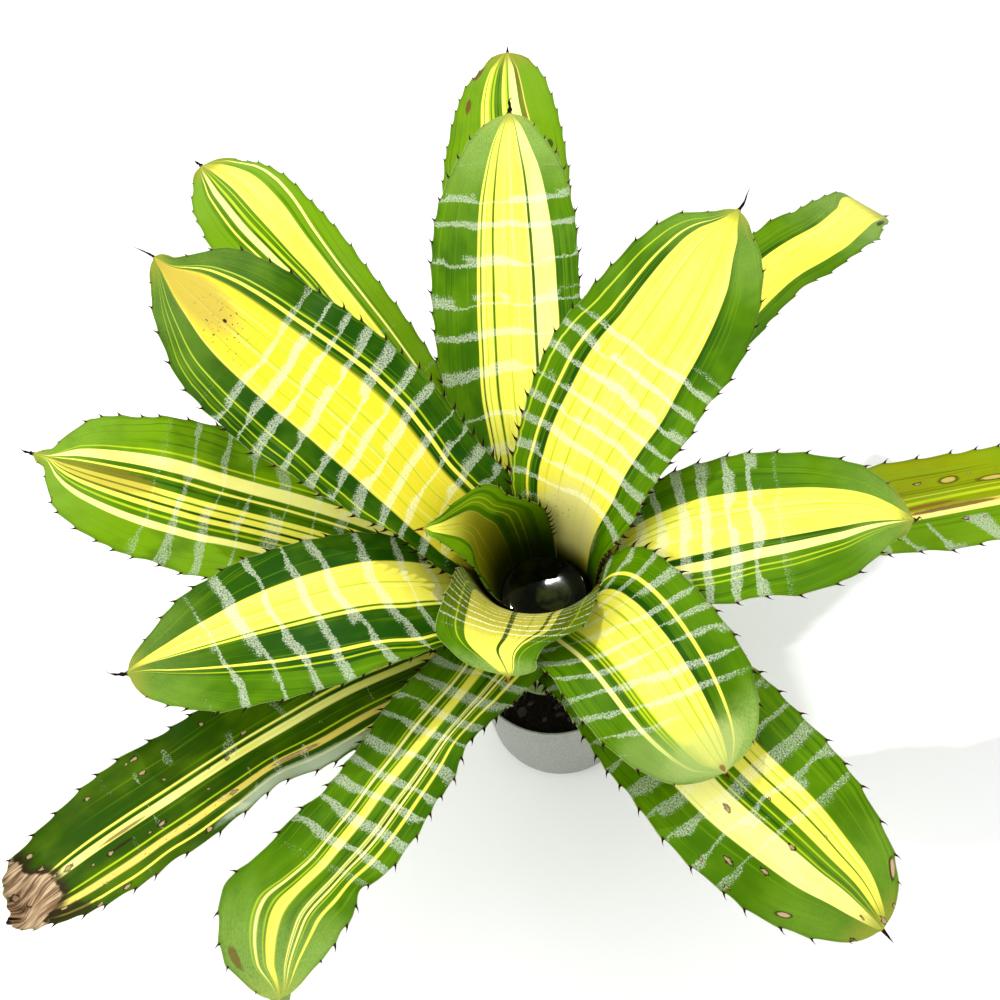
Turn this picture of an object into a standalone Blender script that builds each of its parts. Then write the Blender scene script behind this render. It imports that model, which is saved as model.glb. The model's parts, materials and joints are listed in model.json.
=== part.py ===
"""A variegated tank bromeliad growing in a plain nursery pot: sixteen strap leaves in a vase-shaped rosette.

Units are metres, +Z is up, and the origin is the centre of the pot's flat underside.
"""

from collections import namedtuple

import bpy
import numpy as np

# Nursery pot: a 12 cm round pot, thermoformed, with a flat floor and drain holes off its centre.
POT_RIM_RADIUS = 0.060
POT_BASE_RADIUS = 0.0555
POT_HEIGHT = 0.110
POT_WALL = 0.0015
POT_EDGE = 0.0006
DRAIN_HOLES = 5
DRAIN_HOLE_RADIUS = 0.004
DRAIN_CIRCLE_RADIUS = 0.036

# Gaps between pieces that touch.
SEAT_GAP = 0.0003
BASE_GAP = 0.0005

# Potting mix: a plug that fills the pot to a little below its rim, with a socket for the stem's foot.
SOIL_TOP = 0.101
SOIL_CROWN = 0.0015

# Sheaths nest on shells. Shell 0 is the innermost; each older shell sits lower and wider.
SHELL_STEP_OUT = 0.0022
SHELL_STEP_DOWN = 0.0030
SHELL_COUNT = 9
BASE_RADIUS = 0.008
BASE_HEIGHT = 0.130
BASE_SLOPE = 40.0
WALL_SLOPE = 85.0
MOUTH_SLOPE = 72.0
BULGE_LENGTH = 0.035
FLARE_START = 0.090
FLARE_LENGTH = 0.075

# Leaf blades.
LEAF_THICKNESS = 0.0011
SHEATH_HALF_WIDTH = 0.048
HEART_HALF_WIDTH = 0.077
CHANNEL_RADIUS = 0.050
CHANNEL_RADIUS_PER_SHELL = 0.006
SPINE_LENGTH = 0.009
SPINE_HALF_WIDTH = 0.0013

# Stem: a short cone that the leaf bases sit on, and a foot in the potting mix.
STEM_FOOT_RADIUS = 0.020
STEM_FOOT_BOTTOM = 0.070

# Water held in the tank.
WATER_TOP = 0.214
WATER_BOTTOM = 0.142
WATER_GAP = 0.0007

# Faceting: steps round a turned piece, and rows along a sheath, its bend and its blade.
ROUND_STEPS = 32
LEAF_STEPS = (6, 3, 8)

# azimuth, rise, level, droop, sway, hook and roll are degrees; sheath, blade and half_width metres.
# rise, level and droop are the midrib's slope at the blade's start, middle and tip. sway turns the
# whole blade sideways, hook only its outer part, and skew pushes the tip off the middle.
LEAF_FIELDS = (
    "name shell azimuth sheath blade rise level droop sway hook roll half_width skew wrap bend neck round_end channel"
)
Leaf = namedtuple("Leaf", LEAF_FIELDS, defaults=(52, 0.035, 0.70, 0.42, 1.0))
LEAVES = (
    Leaf("leaf_01_heart", 0, 145, 0.142, 0.012, 45, 25, 0, 30, 0, 0, 0.048, 0, 105, 0.045, 1.0, 2.2, 0.8),
    Leaf("leaf_02_lip", 1, 250, 0.160, 0.010, -10, -45, -60, 0, 0, 0, 0.046, 0, 85, 0.050, 1.2),
    Leaf("leaf_03_broad_back", 2, 48, 0.136, 0.190, 50, 22, 18, -14, 0, 0, 0.056, 0.20,
         52, 0.032, 0.80, 0.42, 1.4),
    Leaf("leaf_04_front_right", 2, 298, 0.126, 0.130, 42, 5, -36, -5, 0, 0, 0.051, 0,
         44, 0.030, 1.1, 0.42, 1.2),
    Leaf("leaf_05_broad_left", 3, 139, 0.128, 0.245, 48, 26, 14, 0, 0, 0, 0.055, -0.30,
         50, 0.035, 0.65, 0.42, 1.3),
    Leaf("leaf_06_upright_back", 4, 88, 0.112, 0.262, 42, 20, 6, -12, 0, 0, 0.050, 0, 44),
    Leaf("leaf_07_left_front", 4, 191, 0.112, 0.205, 48, 10, -5, 0, 0, 0, 0.049, -0.15, 44, 0.035, 0.60),
    Leaf("leaf_08_right", 4, 350, 0.112, 0.174, 46, 12, -5, 0, 0, 0, 0.049, 0, 40),
    Leaf("leaf_09_back_left", 5, 118, 0.098, 0.345, 34, 14, -12, 0, 0, 0, 0.043, 0, 44),
    Leaf("leaf_10_front_wavy", 5, 228, 0.098, 0.235, 12, 6, 14, -14, 55, 0, 0.037, 0,
         50, 0.035, 0.70, 0.30),
    Leaf("leaf_11_left", 6, 158, 0.086, 0.298, 32, 10, -8, 0, 0, 0, 0.054, -0.30,
         52, 0.035, 0.70, 0.42, 1.2),
    Leaf("leaf_12_low_front_right", 6, 298, 0.086, 0.230, 38, 2, -12, 0, 0, 0, 0.054, 0.15,
         52, 0.035, 0.75, 0.42, 1.2),
    Leaf("leaf_13_back_right", 7, 46, 0.078, 0.338, 30, 10, -35, -14, 0, 0, 0.035, -0.30),
    Leaf("leaf_14_withered_tip", 7, 201, 0.074, 0.315, 22, 8, -16, 5, 0, 0, 0.038, 0,
         52, 0.035, 0.70, 0.30),
    Leaf("leaf_15_low_right", 8, 359, 0.064, 0.310, 26, 9, -8, 0, 0, 0, 0.039, 0, 42),
    Leaf("leaf_16_low_back", 8, 85, 0.062, 0.382, 32, 17, -6, -4, 0, 0, 0.048, -0.10, 42),
)


def smooth(x):
    """Rises from 0 to 1 as x does, level at both ends."""
    x = np.clip(x, 0.0, 1.0)
    return x * x * (3.0 - 2.0 * x)


def sheath_slope(s):
    """Degrees above level at arc length s up a sheath: out at the base, steep in the wall, flaring above."""
    bulge = (WALL_SLOPE - BASE_SLOPE) * smooth(s / BULGE_LENGTH)
    flare = (WALL_SLOPE - MOUTH_SLOPE) * smooth((s - FLARE_START) / FLARE_LENGTH)
    return BASE_SLOPE + bulge - flare


def leaf_stations(leaf, sheath_steps, bend_steps, blade_steps):
    """Arc lengths along the midrib, from the stem to the end of the tip spine."""
    top = leaf.sheath + leaf.bend
    end = top + leaf.blade
    return np.concatenate([
        np.linspace(0.0, leaf.sheath, sheath_steps, endpoint=False),
        np.linspace(leaf.sheath, top, bend_steps, endpoint=False),
        end - leaf.blade * np.linspace(1.0, 0.0, blade_steps) ** 1.25,
        [end + SPINE_LENGTH * 0.3, end + SPINE_LENGTH],
    ])


def leaf_surface(leaf, s, columns):
    """The leaf's upper face: one circular arc across the midrib at each arc length s.

    In the sheath the arc lies level and runs round the plant's axis. In the blade it lies square to the
    midrib, bends up from it like a gutter, and flattens towards the tip.
    """
    end = leaf.sheath + leaf.bend + leaf.blade
    t = np.clip((s - leaf.sheath - leaf.bend) / leaf.blade, 0.0, 1.0)
    out = (s - leaf.sheath) / (end - leaf.sheath)

    # Midrib: its slope and heading, added up along fine steps.
    fine = np.linspace(0.0, s[-1], 400)
    fine_t = np.clip((fine - leaf.sheath - leaf.bend) / leaf.blade, 0.0, 1.0)
    fine_out = (fine - leaf.sheath) / (end - leaf.sheath)
    blade_slope = (leaf.rise * (1 - fine_t) * (1 - 2 * fine_t) + leaf.level * 4 * fine_t * (1 - fine_t)
                   + leaf.droop * fine_t * (2 * fine_t - 1))
    bent = smooth((fine - leaf.sheath) / leaf.bend)
    slope = np.radians(sheath_slope(np.minimum(fine, leaf.sheath)) * (1 - bent) + blade_slope * bent)
    heading = np.radians(leaf.azimuth + leaf.sway * smooth(fine_out) + leaf.hook * smooth((fine_t - 0.55) / 0.45))
    along = np.stack([np.cos(slope) * np.cos(heading), np.cos(slope) * np.sin(heading), np.sin(slope)], -1)
    azimuth = np.radians(leaf.azimuth)
    base_radius = BASE_RADIUS + leaf.shell * SHELL_STEP_OUT
    base = np.array([base_radius * np.cos(azimuth), base_radius * np.sin(azimuth),
                     BASE_HEIGHT - leaf.shell * SHELL_STEP_DOWN])
    steps = 0.5 * (along[1:] + along[:-1]) * np.diff(fine)[:, None]
    path = np.vstack([base, base + np.cumsum(steps, 0)])
    midrib = np.stack([np.interp(s, fine, path[:, i]) for i in range(3)], -1)
    tangent = np.stack([np.interp(s, fine, along[:, i]) for i in range(3)], -1)
    turn = np.interp(s, fine, heading)

    # Frame: the side direction is level, the face direction turns from the axis to the blade's upper side.
    side = np.stack([-np.sin(turn), np.cos(turn), 0 * turn], -1)
    inward = np.stack([-np.cos(turn), -np.sin(turn), 0 * turn], -1)
    open_blade = smooth((s - leaf.sheath) / (leaf.bend * 1.2))[:, None]
    face = inward * (1 - open_blade) + np.cross(tangent, side) * open_blade
    face /= np.linalg.norm(face, axis=1)[:, None]
    roll = (np.radians(leaf.roll) * smooth(out * 1.6))[:, None]
    side, face = side * np.cos(roll) + face * np.sin(roll), face * np.cos(roll) - side * np.sin(roll)

    # Half width: the wrapping sheath, the blade with its narrower neck and rounded end, and the tip spine.
    radius = np.hypot(midrib[:, 0], midrib[:, 1])
    widest = HEART_HALF_WIDTH if leaf.wrap > 100 else SHEATH_HALF_WIDTH
    wrapped = np.minimum(widest, np.radians(leaf.wrap) * radius)
    tip = 0.998 * np.clip((out - 1 + leaf.round_end) / leaf.round_end, 0.0, 1.0)
    blade = leaf.half_width * (leaf.neck + (1 - leaf.neck) * smooth(out * 2))
    mix = smooth((out + 0.05) / 0.30)
    half = (wrapped * (1 - mix) + blade * mix) * np.sqrt(1 - tip ** 2.2)
    half = np.where(s > end, SPINE_HALF_WIDTH * (1 - 0.75 * (s - end) / SPINE_LENGTH), half)

    # Section: curvature about the plant's axis in the sheath, a channel that flattens out in the blade.
    opened = open_blade[:, 0]
    channel = leaf.channel * (CHANNEL_RADIUS + CHANNEL_RADIUS_PER_SHELL * leaf.shell)
    curvature = (1 - opened) / radius + opened * (1 - 0.75 * smooth(out / 0.75)) / channel
    across = half[:, None] * np.linspace(-1.0, 1.0, columns + 1)
    angle = across * curvature[:, None]
    sideways = np.sin(angle) / curvature[:, None] + (leaf.skew * leaf.half_width * tip ** 1.5)[:, None]
    upward = (1 - np.cos(angle)) / curvature[:, None]
    return midrib[:, None] + side[:, None] * sideways[..., None] + face[:, None] * upward[..., None]


def material(name, color, roughness):
    """A plain Principled material."""
    mat = bpy.data.materials.new(name)
    mat.use_nodes = True
    shader = mat.node_tree.nodes["Principled BSDF"]
    shader.inputs["Base Color"].default_value = (*color, 1.0)
    shader.inputs["Roughness"].default_value = roughness
    return mat


def add_object(name, verts, edges, faces, mat, collection):
    """A mesh object at the origin, smooth but for its sharp corners."""
    mesh = bpy.data.meshes.new(name)
    mesh.from_pydata([tuple(v) for v in verts], edges, faces)
    mesh.shade_smooth()
    mesh.set_sharp_from_angle(angle=np.radians(40))
    mesh.materials.append(mat)
    obj = bpy.data.objects.new(name, mesh)
    collection.objects.link(obj)
    return obj


def turned(name, profile, mat, collection):
    """A profile of (radius, height) points turned about the Z axis; it starts and ends on the axis."""
    verts = [(r, 0.0, z) for r, z in profile]
    edges = [(i, i + 1) for i in range(len(verts) - 1)]
    obj = add_object(name, verts, edges, [], mat, collection)
    screw = obj.modifiers.new("Turn", "SCREW")
    screw.steps = ROUND_STEPS
    screw.render_steps = ROUND_STEPS
    screw.use_merge_vertices = True
    screw.merge_threshold = 0.00005
    return obj


def pot(collection, cutters):
    """The pot: outer wall from the rim down, flat floor, and the inner wall back up to the rim."""
    inner_rim = POT_RIM_RADIUS - POT_WALL
    inner_base = POT_BASE_RADIUS - POT_WALL
    profile = [
        (0.0, POT_WALL), (inner_base - 0.002, POT_WALL), (inner_base, POT_WALL + 0.002),
        (inner_rim, POT_HEIGHT - POT_EDGE), (inner_rim + POT_EDGE, POT_HEIGHT),
        (POT_RIM_RADIUS - POT_EDGE, POT_HEIGHT), (POT_RIM_RADIUS, POT_HEIGHT - POT_EDGE),
        (POT_BASE_RADIUS, 0.003), (POT_BASE_RADIUS - 0.003, 0.0), (0.0, 0.0),
    ]
    obj = turned("pot", profile, material("pot_plastic", (0.32, 0.33, 0.33), 0.55), collection)
    for i in range(DRAIN_HOLES):
        angle = 2 * np.pi * (i + 0.5) / DRAIN_HOLES
        place = (DRAIN_CIRCLE_RADIUS * np.cos(angle), DRAIN_CIRCLE_RADIUS * np.sin(angle), POT_WALL / 2)
        bpy.ops.mesh.primitive_cylinder_add(vertices=12, radius=DRAIN_HOLE_RADIUS, depth=POT_WALL * 4, location=place)
        cutter = bpy.context.object
        cutter.name = f"drain_cutter_{i}"
        cutter.hide_render = True
        cutter.display_type = "WIRE"
        for old in cutter.users_collection:
            old.objects.unlink(cutter)
        cutters.objects.link(cutter)
        cut = obj.modifiers.new(f"Drain {i}", "BOOLEAN")
        cut.operation = "DIFFERENCE"
        cut.object = cutter


def stem(collection):
    """The short stem: a cone that the leaf bases sit on, over a foot in the potting mix."""
    low_shell = SHELL_COUNT - 1
    cone_radius = BASE_RADIUS + low_shell * SHELL_STEP_OUT - BASE_GAP
    cone_bottom = BASE_HEIGHT - low_shell * SHELL_STEP_DOWN
    profile = [
        (0.0, BASE_HEIGHT + 0.002), (BASE_RADIUS - 0.003, BASE_HEIGHT + 0.0015),
        (BASE_RADIUS - BASE_GAP, BASE_HEIGHT), (cone_radius, cone_bottom),
        (cone_radius, cone_bottom - 0.002), (STEM_FOOT_RADIUS, SOIL_TOP + SOIL_CROWN + 0.001),
        (STEM_FOOT_RADIUS, STEM_FOOT_BOTTOM), (0.0, STEM_FOOT_BOTTOM),
    ]
    turned("stem", profile, material("stem_bark", (0.16, 0.11, 0.06), 0.85), collection)


def potting_mix(collection):
    """The potting mix: it fits the pot's inside, and holds the stem's foot in a socket."""
    top_radius = POT_RIM_RADIUS - POT_WALL - SEAT_GAP
    base_radius = POT_BASE_RADIUS - POT_WALL - SEAT_GAP
    floor = POT_WALL + SEAT_GAP
    wall_radius = base_radius + (top_radius - base_radius) * SOIL_TOP / POT_HEIGHT
    socket = STEM_FOOT_RADIUS + SEAT_GAP
    profile = [
        (0.0, STEM_FOOT_BOTTOM - SEAT_GAP), (socket, STEM_FOOT_BOTTOM - SEAT_GAP),
        (socket, SOIL_TOP + SOIL_CROWN), (0.6 * wall_radius, SOIL_TOP + 0.7 * SOIL_CROWN),
        (wall_radius - 0.0003, SOIL_TOP), (base_radius, floor + 0.003),
        (base_radius - 0.003, floor), (0.0, floor),
    ]
    turned("potting_mix", profile, material("potting_mix", (0.02, 0.016, 0.012), 0.95), collection)


def tank_water(collection):
    """The water in the tank: it follows the heart leaf's sheath up to a level surface."""
    heart = LEAVES[0]
    midrib = leaf_surface(heart, leaf_stations(heart, *LEAF_STEPS), 2)[:LEAF_STEPS[0] + 1, 1]
    heights = np.linspace(WATER_TOP, WATER_BOTTOM, 6)
    radii = np.interp(heights, midrib[:, 2], np.hypot(midrib[:, 0], midrib[:, 1])) - WATER_GAP
    profile = [(0.0, WATER_TOP), *zip(radii, heights), (0.0, WATER_BOTTOM)]
    turned("tank_water", profile, material("tank_water", (0.06, 0.07, 0.03), 0.03), collection)


def strap_leaf(leaf, collection):
    """One leaf: its upper face as a grid, given its thickness on the underside."""
    columns = 14 if leaf.wrap > 100 else 8 if leaf.wrap > 80 else 6
    s = leaf_stations(leaf, *LEAF_STEPS)
    grid = leaf_surface(leaf, s, columns)
    rows = len(s)
    across = columns + 1
    faces = [(r * across + c, (r + 1) * across + c, (r + 1) * across + c + 1, r * across + c + 1)
             for r in range(rows - 1) for c in range(columns)]
    obj = add_object(leaf.name, grid.reshape(-1, 3), [], faces,
                     material(leaf.name, (0.25, 0.38, 0.05), 0.35), collection)
    wall = obj.modifiers.new("Thickness", "SOLIDIFY")
    wall.thickness = LEAF_THICKNESS
    wall.offset = -1.0


def main():
    for obj in list(bpy.data.objects):
        bpy.data.objects.remove(obj, do_unlink=True)
    collection = bpy.data.collections.new("tank_bromeliad")
    cutters = bpy.data.collections.new("cutters")
    bpy.context.scene.collection.children.link(collection)
    bpy.context.scene.collection.children.link(cutters)
    pot(collection, cutters)
    potting_mix(collection)
    stem(collection)
    tank_water(collection)
    for leaf in LEAVES:
        strap_leaf(leaf, collection)


main()
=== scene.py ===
"""A variegated tank bromeliad in a nursery pot: the finish of every surface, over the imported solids.

Units are metres, +Z is up, and the origin is the centre of the pot's flat underside.
"""

import json
from collections import namedtuple

import bpy
import mathutils
import numpy as np
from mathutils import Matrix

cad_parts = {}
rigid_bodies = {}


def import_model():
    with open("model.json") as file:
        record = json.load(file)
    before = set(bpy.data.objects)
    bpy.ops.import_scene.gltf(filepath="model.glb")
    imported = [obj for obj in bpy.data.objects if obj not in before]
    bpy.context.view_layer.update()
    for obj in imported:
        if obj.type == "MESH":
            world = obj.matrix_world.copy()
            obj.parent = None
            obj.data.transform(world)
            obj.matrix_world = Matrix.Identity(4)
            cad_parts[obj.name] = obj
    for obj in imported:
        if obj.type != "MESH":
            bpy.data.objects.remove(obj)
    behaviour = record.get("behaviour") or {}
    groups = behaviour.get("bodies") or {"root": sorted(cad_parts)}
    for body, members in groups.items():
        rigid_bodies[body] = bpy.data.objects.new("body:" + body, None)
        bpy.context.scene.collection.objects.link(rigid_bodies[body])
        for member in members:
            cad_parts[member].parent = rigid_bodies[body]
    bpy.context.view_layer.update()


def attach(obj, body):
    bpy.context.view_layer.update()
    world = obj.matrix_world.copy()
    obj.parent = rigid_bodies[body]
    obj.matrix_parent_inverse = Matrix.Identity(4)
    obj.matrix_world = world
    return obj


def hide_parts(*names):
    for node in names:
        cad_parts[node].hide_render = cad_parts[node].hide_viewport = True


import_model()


# --- Pot --------------------------------------------------------------------------------------------
# A 12 cm round nursery pot, thermoformed from grey recycled plastic sheet: a thin plain wall with
# a rolled edge, a flat floor and five drain holes. The recycled sheet is mottled with lighter flecks.

POT_RIM_RADIUS = 0.060
POT_BASE_RADIUS = 0.0555
POT_HEIGHT = 0.110
POT_WALL = 0.0015
POT_EDGE = 0.0006
DRAIN_HOLES = 5
DRAIN_HOLE_RADIUS = 0.004
DRAIN_CIRCLE_RADIUS = 0.036
POT_ROUND_STEPS = 144
FLOOR_ROUND = 0.002
FOOT_ROUND = 0.003
FLOOR_RINGS = (0.030, 0.042)
DRAIN_CUT = 0.01
DRAIN_ROUND_STEPS = 24
POT_CREASE = np.radians(40)


def linear(red, green, blue):
    """A colour given in 0 to 255 display steps, as the linear values that a shader wants."""
    share = np.array([red, green, blue]) / 255.0
    value = np.where(share < 0.04045, share / 12.92, ((share + 0.055) / 1.055) ** 2.4)
    return (*value, 1.0)


def new_object(name, points, faces, material, smooth_shade=True):
    """A mesh object at the origin, its place in its points."""
    mesh = bpy.data.meshes.new(name)
    mesh.from_pydata(np.asarray(points).tolist(), [], faces)
    mesh.materials.append(material)
    if smooth_shade:
        mesh.shade_smooth()
    made = bpy.data.objects.new(name, mesh)
    bpy.context.scene.collection.objects.link(made)
    return made


def turned_faces(rows, around):
    """Faces of a turned profile: its first and last points lie on the axis as single poles."""
    ring = 1 + np.arange((rows - 2) * around).reshape(rows - 2, around)
    following = np.roll(ring, -1, axis=1)
    quads = np.stack([ring[:-1], ring[1:], following[1:], following[:-1]], -1).reshape(-1, 4).tolist()
    top = np.stack([0 * ring[0], ring[0], following[0]], -1).tolist()
    last = (rows - 2) * around + 1
    foot = np.stack([0 * ring[0] + last, following[-1], ring[-1]], -1).tolist()
    return quads + top + foot


def turned_points(profile, around, swell=None):
    """A profile of (radius, height) points turned about Z; swell(angle, radius, height) adds to both."""
    profile = np.asarray(profile)
    angle = np.linspace(0.0, 2 * np.pi, around, endpoint=False)
    radius = np.repeat(profile[1:-1, :1], around, axis=1)
    height = np.repeat(profile[1:-1, 1:], around, axis=1)
    if swell is not None:
        more_radius, more_height = swell(angle[None, :], radius, height)
        radius, height = radius + more_radius, height + more_height
    body = np.stack([radius * np.cos(angle), radius * np.sin(angle), height], -1).reshape(-1, 3)
    poles = np.array([[0.0, 0.0, profile[0, 1]], [0.0, 0.0, profile[-1, 1]]])
    return np.vstack([poles[:1], body, poles[1:]])


def add(tree, kind, inputs=None, **settings):
    """A shader node with its settings, and with each input given a value or another node's output."""
    made = tree.nodes.new(kind)
    for key, value in settings.items():
        setattr(made, key, value)
    for key, value in (inputs or {}).items():
        if isinstance(value, bpy.types.NodeSocket):
            tree.links.new(value, made.inputs[key])
        else:
            made.inputs[key].default_value = value
    return made


def maths(tree, operation, first, second=0.0, third=0.0):
    """The output of one Math node."""
    return add(tree, "ShaderNodeMath", {0: first, 1: second, 2: third}, operation=operation).outputs[0]


def times(tree, first, *others):
    """Several values multiplied together."""
    for other in others:
        first = maths(tree, "MULTIPLY", first, other)
    return first


def mixed(tree, factor, first, second, how="MIX"):
    """Two colours mixed by a factor."""
    inputs = {"Factor": factor, 6: first, 7: second}
    return add(tree, "ShaderNodeMix", inputs, data_type="RGBA", blend_type=how).outputs[2]


def ranged(tree, value, low, high, to_low=0.0, to_high=1.0):
    """A value carried smoothly from one range to another, held at both ends."""
    inputs = {"Value": value, "From Min": low, "From Max": high, "To Min": to_low, "To Max": to_high}
    return add(tree, "ShaderNodeMapRange", inputs, interpolation_type="SMOOTHSTEP").outputs[0]


def noise(tree, place, scale, detail=2.0, roughness=0.5):
    """The grey value of a noise pattern at a place, where scale stretches each axis."""
    stretched = add(tree, "ShaderNodeMapping", {"Vector": place, "Scale": scale}).outputs[0]
    inputs = {"Vector": stretched, "Scale": 1.0, "Detail": detail, "Roughness": roughness}
    return add(tree, "ShaderNodeTexNoise", inputs).outputs[0]


def new_material(name, roughness):
    """A Principled material, with its tree and its shader."""
    made = bpy.data.materials.new(name)
    made.use_nodes = True
    shader = made.node_tree.nodes["Principled BSDF"]
    shader.inputs["Roughness"].default_value = roughness
    return made, made.node_tree, shader


def surfaced(tree, shader, colour, height, strength, distance):
    """Gives a shader its colour, and a bump of some strength whose full height is a distance in metres."""
    tree.links.new(colour, shader.inputs["Base Color"])
    bump = add(tree, "ShaderNodeBump", {"Height": height, "Strength": strength, "Distance": distance})
    tree.links.new(bump.outputs[0], shader.inputs["Normal"])


def pot_finish():
    """Mottled grey plastic: soft clouds of shade, pale flecks, scuffs and a faint sheet grain."""
    material, tree, shader = new_material("pot_plastic", 0.5)
    place = add(tree, "ShaderNodeTexCoord").outputs["Object"]
    clouds = noise(tree, place, (90, 90, 60), 4.0, 0.6)
    flecks = ranged(tree, noise(tree, place, (900, 900, 700), 2.0, 0.6), 0.56, 0.70)
    scuffs = ranged(tree, noise(tree, place, (60, 60, 900), 3.0, 0.7), 0.60, 0.75)
    shade = mixed(tree, clouds, linear(112, 115, 107), linear(160, 162, 152))
    flecked = mixed(tree, times(tree, flecks, 0.55), shade, linear(214, 215, 214))
    worn = mixed(tree, times(tree, scuffs, 0.25), flecked, linear(96, 97, 98))
    tree.links.new(ranged(tree, clouds, 0.3, 0.7, 0.42, 0.6), shader.inputs["Roughness"])
    surfaced(tree, shader, worn, noise(tree, place, (1400, 1400, 1400), 2.0), 0.25, 0.0003)
    return material


def pot_profile():
    """The wall's outline from the middle of the inner floor, over the rolled rim, to the underside."""
    inner_rim = POT_RIM_RADIUS - POT_WALL
    inner_base = POT_BASE_RADIUS - POT_WALL
    turn = np.linspace(0.0, np.pi / 2, 6)

    def wall(start, end):
        """Four points along a straight wall, after its start."""
        start, end = np.array(start), np.array(end)
        return [tuple(start + (end - start) * share) for share in (0.25, 0.5, 0.75, 1.0)]

    corner = [(inner_base - FLOOR_ROUND + FLOOR_ROUND * np.sin(a),
               POT_WALL + FLOOR_ROUND - FLOOR_ROUND * np.cos(a)) for a in turn]
    inner = wall((inner_base, POT_WALL + FLOOR_ROUND), (inner_rim, POT_HEIGHT - POT_EDGE))
    rim_in = [(inner_rim + POT_EDGE * (1 - np.cos(a)), POT_HEIGHT - POT_EDGE * (1 - np.sin(a)))
              for a in turn[1:]]
    rim_out = [(POT_RIM_RADIUS - POT_EDGE * (1 - np.sin(a)), POT_HEIGHT - POT_EDGE * (1 - np.cos(a)))
               for a in turn]
    outer = wall((POT_RIM_RADIUS, POT_HEIGHT - POT_EDGE), (POT_BASE_RADIUS, FOOT_ROUND))
    foot = [(POT_BASE_RADIUS - FOOT_ROUND * (1 - np.cos(a)), FOOT_ROUND * (1 - np.sin(a))) for a in turn[1:]]
    floor = [(radius, POT_WALL) for radius in FLOOR_RINGS]
    under = [(radius, 0.0) for radius in FLOOR_RINGS[::-1]]
    return [(0.0, POT_WALL), *floor, *corner, *inner, *rim_in, *rim_out, *outer, *foot, *under, (0.0, 0.0)]


profile = pot_profile()
pot = new_object("nursery_pot", turned_points(profile, POT_ROUND_STEPS),
                 [face[::-1] for face in turned_faces(len(profile), POT_ROUND_STEPS)], pot_finish())
for index in range(DRAIN_HOLES):
    angle = 2 * np.pi * (index + 0.5) / DRAIN_HOLES
    hole = turned_points([(0, DRAIN_CUT), (DRAIN_HOLE_RADIUS, DRAIN_CUT), (DRAIN_HOLE_RADIUS, -DRAIN_CUT),
                          (0, -DRAIN_CUT)], DRAIN_ROUND_STEPS)
    hole += (DRAIN_CIRCLE_RADIUS * np.cos(angle), DRAIN_CIRCLE_RADIUS * np.sin(angle), 0.0)
    cutter = new_object(f"drain_cutter_{index}", hole, turned_faces(4, DRAIN_ROUND_STEPS),
                        pot.data.materials[0], False)
    cut = pot.modifiers.new(f"Drain {index}", "BOOLEAN")
    cut.operation = "DIFFERENCE"
    cut.object = cutter
bpy.context.view_layer.update()
pot_mesh = bpy.data.meshes.new_from_object(pot.evaluated_get(bpy.context.evaluated_depsgraph_get()))
pot.modifiers.clear()
pot.data = pot_mesh
for index in range(DRAIN_HOLES):
    bpy.data.objects.remove(bpy.data.objects[f"drain_cutter_{index}"], do_unlink=True)
pot_mesh.shade_smooth()
pot_mesh.set_sharp_from_angle(angle=POT_CREASE)
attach(pot, "root")
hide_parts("pot")


# --- Potting mix ------------------------------------------------------------------------------------
# Damp black peat and composted bark that fills the pot to a little below its rim. It is loose: the
# surface is crumbly, with a socket where the stem's foot grows out of it.

SEAT_GAP = 0.0003
SOIL_TOP = 0.101
SOIL_CROWN = 0.0015
STEM_FOOT_RADIUS = 0.020
STEM_FOOT_BOTTOM = 0.070
SOIL_ROUND_STEPS = 160
SOIL_CRUMB = 0.0011
SOIL_EDGE_GAP = 0.0003
SOIL_FOOT_ROUND = 0.003
SOIL_LUMPS = ((320, 1.0, 3), (800, 0.6, 4), (1900, 0.4, 5))  # waves per metre, share, seed


def ripple(x, y, z, seed, waves=12):
    """Soft random relief between about -1 and 1: a sum of sine waves in random directions."""
    random = np.random.default_rng(seed)
    total = 0.0
    for _ in range(waves):
        a, b, c = random.normal(size=3)
        total = total + np.sin(a * x + b * y + c * z + random.uniform(0, 2 * np.pi))
    return total / np.sqrt(waves)


def soil_finish():
    """Wet black peat with brown fibres and crumbs."""
    material, tree, shader = new_material("potting_mix", 0.85)
    place = add(tree, "ShaderNodeTexCoord").outputs["Object"]
    crumbs = noise(tree, place, (420, 420, 420), 4.0, 0.65)
    fibres = ranged(tree, noise(tree, place, (1500, 300, 900), 2.0), 0.60, 0.72)
    shade = mixed(tree, ranged(tree, crumbs, 0.35, 0.7), linear(5, 5, 3), linear(24, 19, 13))
    shader.inputs["Specular IOR Level"].default_value = 0.1
    fibrous = mixed(tree, times(tree, fibres, 0.3), shade, linear(84, 62, 40))
    surfaced(tree, shader, fibrous, crumbs, 0.8, 0.0012)
    return material


def soil_height(x, y):
    """The relief of the crumbly surface: lumps of three sizes, held within the crumb's height."""
    relief = sum(share * ripple(x * waves, y * waves, 0 * x, seed) for waves, share, seed in SOIL_LUMPS)
    return SOIL_CRUMB * np.tanh(0.7 * relief)


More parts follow.
